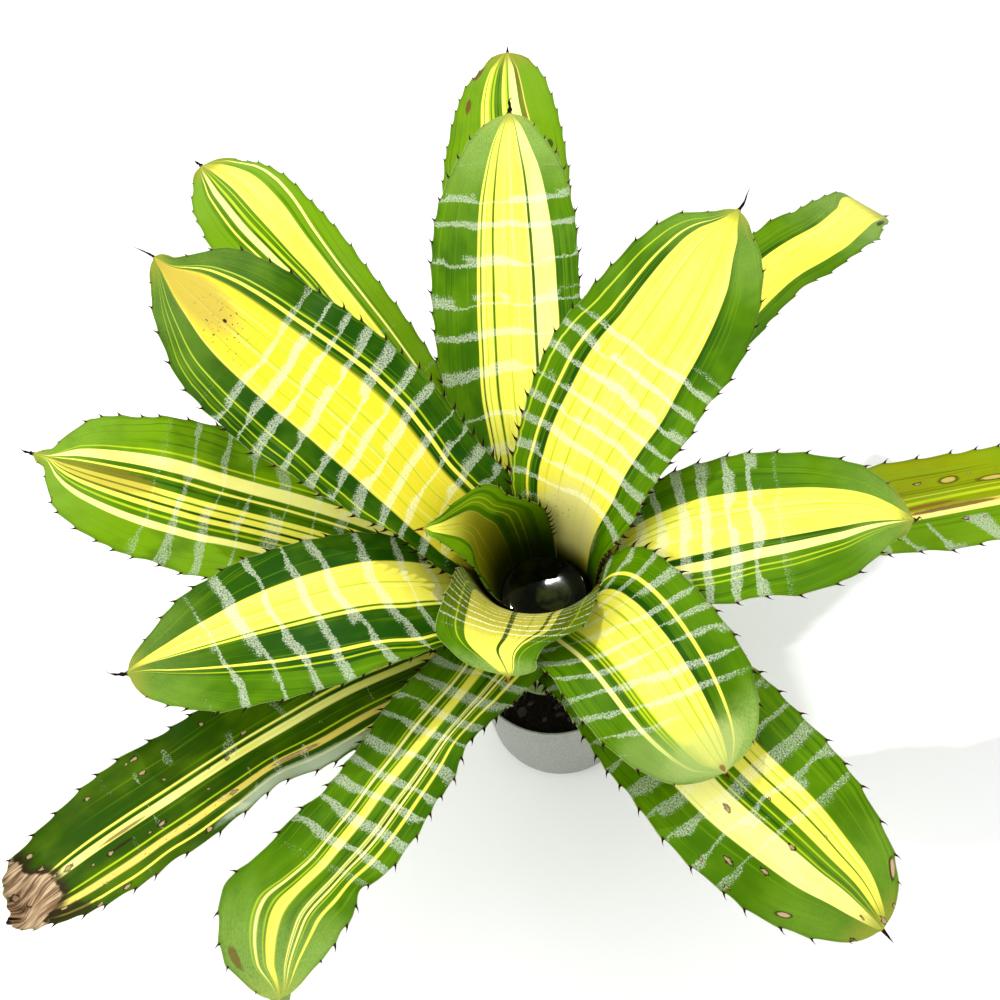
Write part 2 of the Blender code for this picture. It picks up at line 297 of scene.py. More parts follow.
def potting_mix():
    """The plug of mix: the socket's floor and wall, the crumbly top, the pot's inner wall, the floor."""
    top_radius = POT_RIM_RADIUS - POT_WALL - SEAT_GAP
    base_radius = POT_BASE_RADIUS - POT_WALL - SEAT_GAP
    floor = POT_WALL + SEAT_GAP
    wall_radius = base_radius + (top_radius - base_radius) * SOIL_TOP / POT_HEIGHT
    socket = STEM_FOOT_RADIUS + SEAT_GAP
    surface = [(radius, SOIL_TOP + SOIL_CROWN * (1 - (radius / wall_radius) ** 2))
               for radius in np.linspace(socket, wall_radius - SOIL_EDGE_GAP, 40)]
    profile = [(0.0, STEM_FOOT_BOTTOM - SEAT_GAP), (socket, STEM_FOOT_BOTTOM - SEAT_GAP), *surface,
               (base_radius, floor + SOIL_FOOT_ROUND), (base_radius - SOIL_FOOT_ROUND, floor), (0.0, floor)]

    def crumbled(angle, radius, height):
        on_top = (height > SOIL_TOP - 0.001) & (radius < wall_radius - 0.0005)
        relief = soil_height(radius * np.cos(angle), radius * np.sin(angle))
        return 0 * radius, np.where(on_top, relief, 0.0)

    faces = [face[::-1] for face in turned_faces(len(profile), SOIL_ROUND_STEPS)]
    points = turned_points(profile, SOIL_ROUND_STEPS, crumbled)
    return new_object("potting_soil", points, faces, soil_finish())


soil = potting_mix()
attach(soil, "root")
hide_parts("potting_mix")


# --- Bark and perlite -------------------------------------------------------------------------------
# Chips of orchid bark and a few white perlite grains, stirred into the mix so that they lie half sunk
# in its surface. They keep the mix open; each is a rough lump of a few faces.

BARK_CHIPS = 24
PERLITE_GRAINS = 8
LUMP_AROUND = 7
LUMP_ROWS = 5
CLEAR_OF_STEM = 0.024
CLEAR_OF_WALL = 0.006


def lumps(count, seed, size, flatness):
    """Rough pebbles: a sphere of a few rows, roughened by random shares, scaled on three axes and turned."""
    random = np.random.default_rng(seed)
    turn = np.linspace(0, 2 * np.pi, LUMP_AROUND, endpoint=False)
    rise = np.linspace(-1, 1, LUMP_ROWS)[1:-1] * np.pi / 2
    ring = np.stack([np.cos(rise)[:, None] * np.cos(turn), np.cos(rise)[:, None] * np.sin(turn),
                     np.sin(rise)[:, None] + 0 * turn], -1).reshape(-1, 3)
    ball = np.vstack([[0, 0, -1], ring, [0, 0, 1]])
    faces = []
    points = []
    for index in range(count):
        radius = random.uniform(CLEAR_OF_STEM, POT_RIM_RADIUS - POT_WALL - CLEAR_OF_WALL)
        angle = random.uniform(0, 2 * np.pi)
        half = size * random.uniform(0.6, 1.3) * np.array([1.0, random.uniform(0.45, 0.9), flatness])
        yaw, pitch = random.uniform(0, np.pi), random.uniform(-0.35, 0.35)
        rough = ball * (1 + random.uniform(-0.22, 0.22, (len(ball), 1))) * half
        tilted = rough @ np.array([[np.cos(pitch), 0, np.sin(pitch)], [0, 1, 0],
                                   [-np.sin(pitch), 0, np.cos(pitch)]])
        spun = tilted @ np.array([[np.cos(yaw), np.sin(yaw), 0], [-np.sin(yaw), np.cos(yaw), 0], [0, 0, 1]])
        middle = np.array([radius * np.cos(angle), radius * np.sin(angle), SOIL_TOP + SOIL_CROWN * 0.5])
        points.append(spun + middle + (0, 0, soil_height(middle[0], middle[1])))
        shift = index * len(ball)
        faces += [[corner + shift for corner in face[::-1]] for face in turned_faces(LUMP_ROWS, LUMP_AROUND)]
    return np.vstack(points), [face[::-1] for face in faces]


def chip_finish(name, dark, light, roughness):
    """Bark or perlite: two tones in grain and clouds, with a rough surface."""
    material, tree, shader = new_material(name, roughness)
    place = add(tree, "ShaderNodeTexCoord").outputs["Object"]
    grain = noise(tree, place, (1300, 500, 2200), 4.0, 0.7)
    surfaced(tree, shader, mixed(tree, ranged(tree, grain, 0.35, 0.65), dark, light), grain, 0.7, 0.0006)
    return material


for name, count, seed, size, flatness, dark, light, roughness in (
        ("bark_chips", BARK_CHIPS, 11, 0.0036, 0.35, linear(14, 9, 6), linear(60, 40, 24), 0.8),
        ("perlite_grains", PERLITE_GRAINS, 12, 0.0016, 0.85, linear(196, 186, 164), linear(236, 230, 212),
         0.7)):
    finish = chip_finish(name, dark, light, roughness)
    chips = new_object(name, *lumps(count, seed, size, flatness), finish, False)
    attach(chips, "root")


# --- Stem -------------------------------------------------------------------------------------------
# The short woody stem that the leaves grow from: a cone ringed by the leaf bases, over a foot rooted
# in the mix. Its bark is brown and fibrous, with the scars of leaves that have been shed.

SHELL_STEP_OUT = 0.0022
SHELL_STEP_DOWN = 0.0030
SHELL_COUNT = 9
BASE_RADIUS = 0.008
BASE_HEIGHT = 0.130
BASE_GAP = 0.0005
STEM_ROUND_STEPS = 96


def bark_finish():
    """Fibrous brown bark: strands that run up the stem, with darker rings at the scars."""
    material, tree, shader = new_material("stem_bark", 0.85)
    place = add(tree, "ShaderNodeTexCoord").outputs["Object"]
    strands = noise(tree, place, (700, 700, 60), 4.0, 0.7)
    rings = noise(tree, place, (8, 8, 420), 2.0)
    shade = mixed(tree, ranged(tree, strands, 0.3, 0.7), linear(58, 38, 22), linear(150, 112, 70))
    ringed = mixed(tree, ranged(tree, rings, 0.52, 0.66, 0.0, 0.7), shade, linear(40, 28, 18))
    surfaced(tree, shader, ringed, strands, 0.7, 0.0008)
    return material


def stem_body():
    """The stem's outline turned about Z, with ridges up the foot and low rings at the leaf scars."""
    low_shell = SHELL_COUNT - 1
    cone_radius = BASE_RADIUS + low_shell * SHELL_STEP_OUT - BASE_GAP
    cone_bottom = BASE_HEIGHT - low_shell * SHELL_STEP_DOWN
    crown = SOIL_TOP + SOIL_CROWN + 0.001
    cone = [(BASE_RADIUS - BASE_GAP + (cone_radius - BASE_RADIUS + BASE_GAP) * share,
             BASE_HEIGHT + (cone_bottom - BASE_HEIGHT) * share) for share in np.linspace(0, 1, 26)]
    waist = [(cone_radius + (STEM_FOOT_RADIUS - cone_radius) * share,
              cone_bottom - 0.002 + (crown - cone_bottom + 0.002) * share) for share in np.linspace(0, 1, 5)]
    foot = [(STEM_FOOT_RADIUS, height) for height in np.linspace(crown, STEM_FOOT_BOTTOM, 14)[1:]]
    profile = [(0.0, BASE_HEIGHT + 0.002), (BASE_RADIUS - 0.003, BASE_HEIGHT + 0.0015), *cone, *waist, *foot,
               (0.0, STEM_FOOT_BOTTOM)]

    def fibrous(angle, radius, height):
        ridges = -0.0003 * (1 + np.sin(17 * angle + 40 * height)) * (radius > 0.012)
        scars = -0.0002 * (1 + np.sin(height * 2900)) * (radius > 0.012)
        return ridges + scars, 0 * height

    points = turned_points(profile, STEM_ROUND_STEPS, fibrous)
    return new_object("stem_body", points, turned_faces(len(profile), STEM_ROUND_STEPS), bark_finish())


stem = stem_body()
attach(stem, "root")
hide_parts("stem")


# --- Leaves -----------------------------------------------------------------------------------------
# Sixteen strap leaves in a rosette. Each grew as one piece: a sheath that wraps its neighbours and
# helps to hold water, a stiff arching blade striped with yellow, and a margin armed with horny spines.

BASE_SLOPE = 40.0
WALL_SLOPE = 85.0
MOUTH_SLOPE = 72.0
BULGE_LENGTH = 0.035
FLARE_START = 0.090
FLARE_LENGTH = 0.075
LEAF_THICKNESS = 0.0011
SHEATH_HALF_WIDTH = 0.048
HEART_HALF_WIDTH = 0.077
CHANNEL_RADIUS = 0.050
CHANNEL_RADIUS_PER_SHELL = 0.006
SPINE_LENGTH = 0.009
LEAF_COLUMNS = 28
ROW_STEP = 0.0014
SCALLOP_DEPTH = 0.0014
RIPPLE_LENGTHS = (0.062, 0.035)
PLEAT_DEPTH = 0.00012
KINK = 0.0011
DRY_CRUMPLE = 0.0035
DRY_CURL = 0.012
DRY_CREASE = 0.0011
DRY_DROP = 0.16
THORN_ROOT = 0.0008
THORN_STOUTNESS = 0.26
FAR_FROM_EDGE = 0.01
THORN_RINGS = 5
THORN_AROUND = 6

# azimuth, rise, level, droop, sway, hook and roll are degrees; sheath, blade and half_width metres.
# rise, level and droop are the midrib's slope at the blade's start, middle and tip. sway turns the
# whole blade sideways, hook only its outer part, and skew pushes the tip off the middle.
LEAF_FIELDS = ("name shell azimuth sheath blade rise level droop sway hook roll half_width skew wrap bend"
               " neck round_end channel")
Leaf = namedtuple("Leaf", LEAF_FIELDS, defaults=(52, 0.035, 0.70, 0.42, 1.0))

# The spine that ends a leaf: metres long and half wide, bent sideways and up, with a share of kinks.
Tip = namedtuple("Tip", "length half_width sideways up kinks foot point")
HORN_FOOT = linear(62, 26, 12)
HORN_POINT = linear(14, 9, 7)
PLAIN_TIP = Tip(SPINE_LENGTH, 0.0013, 0.0, 0.0, 0.0, HORN_FOOT, HORN_POINT)

# A leaf's tones, named as a grower would, but for two: the hazy grey-green is partly a painted sheen, and
# "shade" is painted shade.
TONES = {
    "deep": linear(26, 70, 0),
    "green": linear(70, 113, 0),
    "fresh": linear(105, 146, 4),
    "olive": linear(142, 150, 0),
    "lime": linear(182, 204, 28),
    "yellow": linear(246, 240, 92),
    "cream": linear(250, 246, 142),
    "straw": linear(222, 200, 96),
    "brown": linear(104, 66, 34),
    "gold": linear(228, 214, 48),
    "moss": linear(46, 74, 0),
    "bloom_and_sheen": linear(142, 172, 84),
    "silver": linear(178, 190, 160),
    "papery": linear(188, 158, 122),
    "dark": linear(42, 30, 16),
    "shade": linear(26, 34, 0),
}


def smooth(x):
    """Rises from 0 to 1 as x does, level at both ends."""
    x = np.clip(x, 0.0, 1.0)
    return x * x * (3.0 - 2.0 * x)


def eased(points, x):
    """A value along the blade through a few (out, value) points, bending gently and held at both ends."""
    at, value = np.array([*points, (points[-1][0] + 0.01, points[-1][1])]).T
    steps = np.diff(value) / np.diff(at)
    product = steps[1:] * steps[:-1]
    slope = np.zeros(len(at))
    slope[1:-1] = np.where(product > 0, 2 * product / np.where(product > 0, steps[1:] + steps[:-1], 1.0), 0.0)
    x = np.clip(x, at[0], at[-1])
    index = np.clip(np.searchsorted(at, x) - 1, 0, len(at) - 2)
    gap = at[index + 1] - at[index]
    t = (x - at[index]) / gap
    return (value[index] * (1 + 2 * t) * (1 - t) ** 2 + gap * slope[index] * t * (1 - t) ** 2
            + value[index + 1] * (3 - 2 * t) * t ** 2 - gap * slope[index + 1] * (1 - t) * t ** 2)


def sheath_slope(s):
    """Degrees above level at arc length s up a sheath: out at the base, steep in the wall, flaring above."""
    bulge = (WALL_SLOPE - BASE_SLOPE) * smooth(s / BULGE_LENGTH)
    flare = (WALL_SLOPE - MOUTH_SLOPE) * smooth((s - FLARE_START) / FLARE_LENGTH)
    return BASE_SLOPE + bulge - flare


def leaf_rows(leaf, tip_length):
    """Arc lengths of the rows: even up the sheath and bend, closer towards the tip, then the spine."""
    top = leaf.sheath + leaf.bend
    end = top + leaf.blade
    lower = np.linspace(0.0, top, int(top / ROW_STEP), endpoint=False)
    upper = end - leaf.blade * np.linspace(1.0, 0.0, 12 + int(leaf.blade / ROW_STEP)) ** 1.3
    return np.concatenate([lower, upper, end + tip_length * np.linspace(0.0, 1.0, 14)[1:]])


def leaf_line(leaf, s, tip):
    """The midrib and its section at each arc length s, as arrays.

    The midrib's slope and heading are added up along fine steps. The side direction is level, the face
    direction turns from the plant's axis to the blade's upper side, and the section is one circular arc:
    round the axis in the sheath, a channel that flattens out in the blade.
    """
    end = leaf.sheath + leaf.bend + leaf.blade
    out = (s - leaf.sheath) / (end - leaf.sheath)
    fine = np.linspace(0.0, max(s[-1], end + SPINE_LENGTH), 400)
    fine_t = np.clip((fine - leaf.sheath - leaf.bend) / leaf.blade, 0.0, 1.0)
    fine_out = (fine - leaf.sheath) / (end - leaf.sheath)
    blade_slope = (leaf.rise * (1 - fine_t) * (1 - 2 * fine_t) + leaf.level * 4 * fine_t * (1 - fine_t)
                   + leaf.droop * fine_t * (2 * fine_t - 1))
    bent = smooth((fine - leaf.sheath) / leaf.bend)
    slope = np.radians(sheath_slope(np.minimum(fine, leaf.sheath)) * (1 - bent) + blade_slope * bent)
    heading = np.radians(leaf.azimuth + leaf.sway * smooth(fine_out)
                         + leaf.hook * smooth((fine_t - 0.55) / 0.45))
    along = np.stack([np.cos(slope) * np.cos(heading), np.cos(slope) * np.sin(heading), np.sin(slope)], -1)
    azimuth = np.radians(leaf.azimuth)
    base_radius = BASE_RADIUS + leaf.shell * SHELL_STEP_OUT
    base = np.array([base_radius * np.cos(azimuth), base_radius * np.sin(azimuth),
                     BASE_HEIGHT - leaf.shell * SHELL_STEP_DOWN])
    steps = 0.5 * (along[1:] + along[:-1]) * np.diff(fine)[:, None]
    path = np.vstack([base, base + np.cumsum(steps, 0)])
    midrib = np.stack([np.interp(s, fine, path[:, i]) for i in range(3)], -1)
    tangent = np.stack([np.interp(s, fine, along[:, i]) for i in range(3)], -1)
    turn = np.interp(s, fine, heading)

    side = np.stack([-np.sin(turn), np.cos(turn), 0 * turn], -1)
    inward = np.stack([-np.cos(turn), -np.sin(turn), 0 * turn], -1)
    open_blade = smooth((s - leaf.sheath) / (leaf.bend * 1.2))[:, None]
    face = inward * (1 - open_blade) + np.cross(tangent, side) * open_blade
    face /= np.linalg.norm(face, axis=1)[:, None]
    roll = (np.radians(leaf.roll) * smooth(out * 1.6))[:, None]
    side, face = side * np.cos(roll) + face * np.sin(roll), face * np.cos(roll) - side * np.sin(roll)

    radius = np.hypot(midrib[:, 0], midrib[:, 1])
    widest = HEART_HALF_WIDTH if leaf.wrap > 100 else SHEATH_HALF_WIDTH
    wrapped = np.minimum(widest, np.radians(leaf.wrap) * radius)
    rounding = 0.998 * np.clip((out - 1 + leaf.round_end) / leaf.round_end, 0.0, 1.0)
    blade = leaf.half_width * (leaf.neck + (1 - leaf.neck) * smooth(out * 2))
    mix = smooth((out + 0.05) / 0.30)
    half = (wrapped * (1 - mix) + blade * mix) * np.sqrt(1 - rounding ** 2.2)
    horn = np.clip((s - end) / tip.length, 0.0, 1.0)
    shrivelled = 1 + 0.35 * tip.kinks * np.sin(21 * horn + 1.0)
    half = np.where(s > end, tip.half_width * (1 - 0.92 * horn) * shrivelled, half)
    opened = open_blade[:, 0]
    channel = leaf.channel * (CHANNEL_RADIUS + CHANNEL_RADIUS_PER_SHELL * leaf.shell)
    curvature = (1 - opened) / radius + opened * (1 - 0.75 * smooth(out / 0.75)) / channel
    shift = leaf.skew * leaf.half_width * rounding ** 1.5
    return {"s": s, "out": out, "midrib": midrib, "side": side, "face": face, "half": half,
            "curvature": curvature, "shift": shift, "end": end, "horn": horn}


def leaf_point(line, across, lift):
    """Points at a distance across each row's arc and a lift off its upper face."""
    curvature = line["curvature"][:, None]
    angle = across * curvature
    sideways = np.sin(angle) / curvature + line["shift"][:, None] - np.sin(angle) * lift
    upward = (1 - np.cos(angle)) / curvature + np.cos(angle) * lift
    return (line["midrib"][:, None] + line["side"][:, None] * sideways[..., None]
            + line["face"][:, None] * upward[..., None])


def thorn_places(leaf, random, pitch):
    """Arc lengths of one margin's spines: close together at the base, further apart towards the tip."""
    end = leaf.sheath + leaf.bend + leaf.blade
    places = [leaf.sheath * 0.80 + random.uniform(0, 0.004)]
    while places[-1] < end - 0.004:
        out = np.clip((places[-1] - leaf.sheath) / (end - leaf.sheath), 0.0, 1.0)
        step = pitch * (0.38 + 0.80 * smooth(out * 1.5) - 0.45 * smooth((out - 0.70) / 0.30))
        places.append(places[-1] + step * random.uniform(0.75, 1.25))
    return np.array(places[:-1])


def leaf_sheet(line, places, shares, wave, withered, tip, random):
    """The blade as a closed tube of rings: the upper face from margin to margin, then the underside back.

    The margin is cut in behind each spine and swells towards the next. The blade ripples along its
    margins in two slow waves and is lightly pleated. It is thickest at the midrib and thins to its edges.
    """
    k = np.linspace(-1.0, 1.0, LEAF_COLUMNS + 1)
    upper = 0.75 * np.sin(np.pi / 2 * k) + 0.25 * k
    u = np.concatenate([upper, upper[-2:0:-1]])[None, :]
    below = np.concatenate([0 * upper, 1 + 0 * upper[-2:0:-1]])[None, :]
    s, out, half = line["s"][:, None], line["out"][:, None], line["half"][:, None]

    inset = []
    for spines in places:
        passed = np.interp(line["s"], spines, np.arange(len(spines))) % 1.0
        bay = passed ** 0.4 * (1 - passed) / 0.44
        grown = smooth((line["out"] + 0.1) / 0.2) * smooth((line["end"] - line["s"]) / 0.012)
        inset.append(SCALLOP_DEPTH * bay * grown * (line["s"] > spines[0]) * (line["s"] < spines[-1]))
    edge = np.where(u < 0, inset[0][:, None], inset[1][:, None])
    kept = np.where(u < 0, shares[0][:, None], shares[1][:, None])
    across = u * half * kept - np.sign(u) * edge * np.abs(u) ** 12

    phases = random.uniform(0, 2 * np.pi, 4)
    phase = np.where(u < 0, phases[0], phases[1])
    other = np.where(u < 0, phases[2], phases[3])
    ripples = (np.sin(2 * np.pi * s / RIPPLE_LENGTHS[0] + phase)
               + 0.6 * np.sin(2 * np.pi * s / RIPPLE_LENGTHS[1] + other))
    fullness = smooth((out - 0.05) / 0.3) * np.minimum(half / 0.02, 1.0)
    pleats = PLEAT_DEPTH * np.sin(across * 1100.0 + 2.5 * np.sin(s * 14)) * (1 - np.abs(u) ** 4)
    lift = fullness * (wave * ripples * np.abs(u) ** 2.5 + pleats)
    dry = withered * smooth((out - 0.90) / 0.05)
    crumple = DRY_CRUMPLE * ripple(across * 110, s * 60, 0 * across, 8) + DRY_CURL * np.abs(u) ** 1.5
    lift = lift + dry * (crumple + DRY_CREASE * np.sin(across * 900 + 3 * np.sin(s * 90))
                         - DRY_DROP * np.maximum(out - 0.9, 0))
    horn = line["horn"][:, None]
    lift = lift + tip.up * horn ** 2 + KINK * tip.kinks * np.sin(11 * horn) * horn
    body = LEAF_THICKNESS * (0.25 + 0.75 * (1 - u ** 2)) * (1 - np.abs(u) ** 24)
    rounded = 1.6 * half * np.sqrt(np.clip(1 - u ** 2, 0.0, 1.0))
    thickness = np.minimum(body, rounded + 0 * body)
    thickness = np.where(s > line["end"] - 0.001, rounded, thickness)
    points = leaf_point(line, across, lift - below * thickness)
    points += line["side"][:, None] * (tip.sideways * horn ** 2
                                       + KINK * tip.kinks * np.sin(8 * horn + 2) * horn)[..., None]
    from_edge = line["half"][:, None] * kept * (1 - np.abs(u))
    return points, across, 0.5 + 0.5 * u + 0 * s, below + 0 * s, from_edge


def tube_faces(rows, around):
    """Rows of closed rings joined one to the next: the quads, and a flat cap for each end."""
    ring = np.arange(rows * around).reshape(rows, around)
    following = np.roll(ring, -1, axis=1)
    quads = np.stack([ring[:-1], following[:-1], following[1:], ring[1:]], -1).reshape(-1, 4)
    return quads, [ring[0, ::-1].tolist(), ring[-1].tolist()]


def along_rows(values, row):
    """Points of one column of the sheet at fractional rows."""
    return np.stack([np.interp(row, np.arange(len(values)), values[:, i]) for i in range(3)], -1)


def leaf_thorns(line, places, sheet, size):
    """Horny hooks along both margins: flattened cones that lean and curl towards the leaf's tip."""
    points, faces, place, stripe, horn = [], [], [], [], []
    turn = np.linspace(0, 2 * np.pi, THORN_AROUND, endpoint=False)
    q = np.linspace(0.0, 1.0, THORN_RINGS)
    per_thorn = THORN_RINGS * THORN_AROUND
    pattern, caps = tube_faces(THORN_RINGS, THORN_AROUND)
    first = 0
    for sign, spines, column in ((-1, places[0], 0), (1, places[1], LEAF_COLUMNS)):
        row = np.interp(spines, line["s"], np.arange(len(line["s"])))
        at = along_rows(sheet[:, column], row)
        forward = along_rows(sheet[:, column], row + 1.5) - along_rows(sheet[:, column], row - 1.5)
        forward /= np.linalg.norm(forward, axis=1)[:, None]
        outward = at - along_rows(sheet[:, LEAF_COLUMNS // 2 + sign * 8], row)
        outward -= (outward * forward).sum(1)[:, None] * forward
        outward /= np.linalg.norm(outward, axis=1)[:, None]
        normal = np.cross(forward, outward)
        out = np.interp(spines, line["s"], line["out"])
        half = np.interp(spines, line["s"], line["half"])
        near_tip = smooth((line["end"] - spines) / 0.03)
        length = size * (1.35 - 0.45 * smooth(out * 2)) * (0.45 + 0.55 * near_tip)
        lean = (0.25 * q + 0.50 * q ** 2)[None, :, None]
        reach = (q - 0.10 * q ** 2)[None, :, None]
        centre = (at[:, None] - THORN_ROOT * outward[:, None] + length[:, None, None]
                  * (reach * outward[:, None] + lean * forward[:, None]))
        radius = THORN_STOUTNESS * length[:, None] * (1 - 0.95 * q ** 0.75)
        ring = (centre[:, :, None] + radius[:, :, None, None]
                * (np.cos(turn)[None, None, :, None] * forward[:, None, None]
                   + 0.6 * np.sin(turn)[None, None, :, None] * normal[:, None, None] * sign))
        points.append(ring.reshape(-1, 3))
        for index in range(len(spines)):
            shift = first + index * per_thorn
            faces += (pattern + shift).tolist() + [[corner + shift for corner in cap] for cap in caps]
        first += len(spines) * per_thorn
        across = np.repeat(sign * half, per_thorn)
        place.append(np.stack([across, np.repeat(spines, per_thorn), np.repeat(out, per_thorn)], -1))
        stripe.append(0.5 + 0.5 * sign + 0 * across)
        horn.append(np.tile(np.repeat(0.35 + 0.65 * q, THORN_AROUND), len(spines)))
    return np.vstack(points), faces, np.vstack(place), np.concatenate(stripe), np.concatenate(horn)


def group(name, inputs, outputs):
    """An empty shader node group with named float sockets (Place is a vector), and its two ends."""
    tree = bpy.data.node_groups.new(name, "ShaderNodeTree")
    for label in inputs:
        kind = "NodeSocketVector" if label == "Place" else "NodeSocketFloat"
        tree.interface.new_socket(name=label, in_out="INPUT", socket_type=kind)
    for label in outputs:
        tree.interface.new_socket(name=label, in_out="OUTPUT", socket_type="NodeSocketFloat")
    return tree, tree.nodes.new("NodeGroupInput").outputs, tree.nodes.new("NodeGroupOutput").inputs


def seeded(tree, place, seed):
    """A place moved by a seed, so that each leaf gets noise of its own."""
    offset = add(tree, "ShaderNodeCombineXYZ", {0: seed, 1: seed}).outputs[0]
    return add(tree, "ShaderNodeVectorMath", {0: place, 1: offset}, operation="ADD").outputs[0]


def silver_bands():
    """Cross bands of silver scale: grains that crowd together once in each spacing along the blade.

    A band is dense at its lower edge and thins out above. Noise moves it, frays its edges into fibres
    and leaves it broken in places.
    """
    sockets = ["Place", "Spacing", "First", "Tilt", "Width", "Start", "Stop", "Density", "Seed"]
    tree, given, result = group("silver_bands", sockets, ["Mask"])
    parts = add(tree, "ShaderNodeSeparateXYZ", {0: given["Place"]}).outputs
    moved = seeded(tree, given["Place"], given["Seed"])
    above = maths(tree, "SUBTRACT", parts[1], given["First"])
    bowed = maths(tree, "MULTIPLY_ADD", parts[0], given["Tilt"], above)
    phase = maths(tree, "DIVIDE", bowed, given["Spacing"])
    for scale, detail, reach in (((0.0, 26.0, 0.0), 1.0, 0.9), ((34.0, 16.0, 0.0), 2.0, 0.55),
                                 ((900.0, 130.0, 0.0), 2.0, 0.16)):
        swing = maths(tree, "MULTIPLY_ADD", noise(tree, moved, scale, detail), reach, -reach / 2)
        phase = maths(tree, "ADD", phase, swing)
    rise = maths(tree, "FRACT", maths(tree, "ADD", phase, 0.04))
    whole = ranged(tree, given["Density"], 0.5, 0.9, 0.52, 0.34)
    patchy = ranged(tree, noise(tree, moved, (34.0, 60.0, 0.0), 2.0), whole, maths(tree, "ADD", whole, 0.22),
                    ranged(tree, given["Density"], 0.5, 0.9, 0.0, 0.45), 1.25)
    width = times(tree, given["Width"], patchy)
    fade = ranged(tree, rise, times(tree, width, 1.25), times(tree, width, 0.55))
    density = times(tree, ranged(tree, rise, 0.0, 0.08), fade)
    starting = ranged(tree, parts[2], given["Start"], maths(tree, "ADD", given["Start"], 0.08))
    stopping = ranged(tree, parts[2], given["Stop"], maths(tree, "SUBTRACT", given["Stop"], 0.14))
    density = times(tree, density, starting, stopping, ranged(tree, given["Density"], 0.0, 1.0, 0.5, 1.0))
    low = maths(tree, "MULTIPLY_ADD", density, -0.53, 0.89)
    grains = noise(tree, moved, (1300.0, 850.0, 0.0), 2.0, 0.8)
    tree.links.new(ranged(tree, grains, low, maths(tree, "ADD", low, 0.20)), result["Mask"])
    return tree


def hair_lines():
    """Fine lines that run up the leaf: contours of noise stretched along the blade, fading in and out."""
    tree, given, result = group("hair_lines", ["Stripe", "Along", "Seed"], ["Dark", "Light", "Relief"])
    parts = {0: given["Stripe"], 1: given["Along"], 2: given["Seed"]}
    place = add(tree, "ShaderNodeCombineXYZ", parts).outputs[0]
    for label, scale, width in (("Dark", 17.0, 0.030), ("Light", 23.0, 0.045)):
        level = maths(tree, "SUBTRACT", noise(tree, place, (scale, 1.2, 1.0), 2.0), 0.5)
        contour = maths(tree, "ABSOLUTE", level)
        shown = ranged(tree, noise(tree, place, (scale * 1.7, 9.0, 2.0), 1.0), 0.42, 0.60)
        tree.links.new(times(tree, ranged(tree, contour, width, 0.0), shown), result[label])
    tree.links.new(noise(tree, place, (190.0, 4.0, 1.0), 1.0), result["Relief"])
    return tree


def blemishes():
    """Old damage: scattered spots with a dark ring and a tan middle, one in some cells of a pattern."""
    tree, given, result = group("blemishes", ["Place", "Amount", "Seed"], ["Ring", "Middle"])
    flat = add(tree, "ShaderNodeMapping", {"Vector": given["Place"], "Scale": (100.0, 52.0, 0.0)}).outputs[0]
    rough = noise(tree, given["Place"], (600.0, 350.0, 0.0), 3.0)
    cells = add(tree, "ShaderNodeTexVoronoi", {"Vector": seeded(tree, flat, given["Seed"]), "Scale": 1.0},
                voronoi_dimensions="2D")
    chance = add(tree, "ShaderNodeSeparateColor", {0: cells.outputs["Color"]}).outputs
    size = ranged(tree, chance[1], 0.0, 1.0, 0.05, 0.19)
    distance = maths(tree, "ADD", cells.outputs["Distance"], maths(tree, "MULTIPLY_ADD", rough, 0.30, -0.15))
    there = maths(tree, "LESS_THAN", chance[0], given["Amount"])
    for label, start, stop in (("Ring", 1.0, 0.8), ("Middle", 0.65, 0.45)):
        inside = ranged(tree, distance, times(tree, size, start), times(tree, size, stop))
        tree.links.new(times(tree, inside, there), result[label])
    return tree


def patch():
    """One marked place: an oval round (U, V) on the leaf, W and H half across, with a ragged edge."""
    tree, given, result = group("patch", ["Place", "Stripe", "U", "V", "W", "H"], ["Mask"])
    out = add(tree, "ShaderNodeSeparateXYZ", {0: given["Place"]}).outputs[2]
    ragged = maths(tree, "SUBTRACT", noise(tree, given["Place"], (420.0, 220.0, 0.0), 3.0), 0.5)
    total = times(tree, ragged, ranged(tree, given["H"], 0.05, 0.30, 0.8, 0.1))
    for value, middle, half in ((given["Stripe"], given["U"], given["W"]), (out, given["V"], given["H"])):
        far = maths(tree, "DIVIDE", maths(tree, "SUBTRACT", value, middle), half)
        total = maths(tree, "ADD", total, times(tree, far, far))
    tree.links.new(ranged(tree, total, 1.15, 0.40), result["Mask"])
    return tree


BANDS = silver_bands()
HAIR_LINES = hair_lines()
BLEMISHES = blemishes()
PATCH = patch()


def filled(tree, made, values):
    """The outputs of a group's node, with its inputs filled by name."""
    return add(tree, "ShaderNodeGroup", values, node_tree=made).outputs


def tinted(tree, skin, tone, *shares):
    """The skin with a tone laid over it, by the product of some shares."""
    return mixed(tree, times(tree, *shares), skin, TONES[tone] if isinstance(tone, str) else tone)


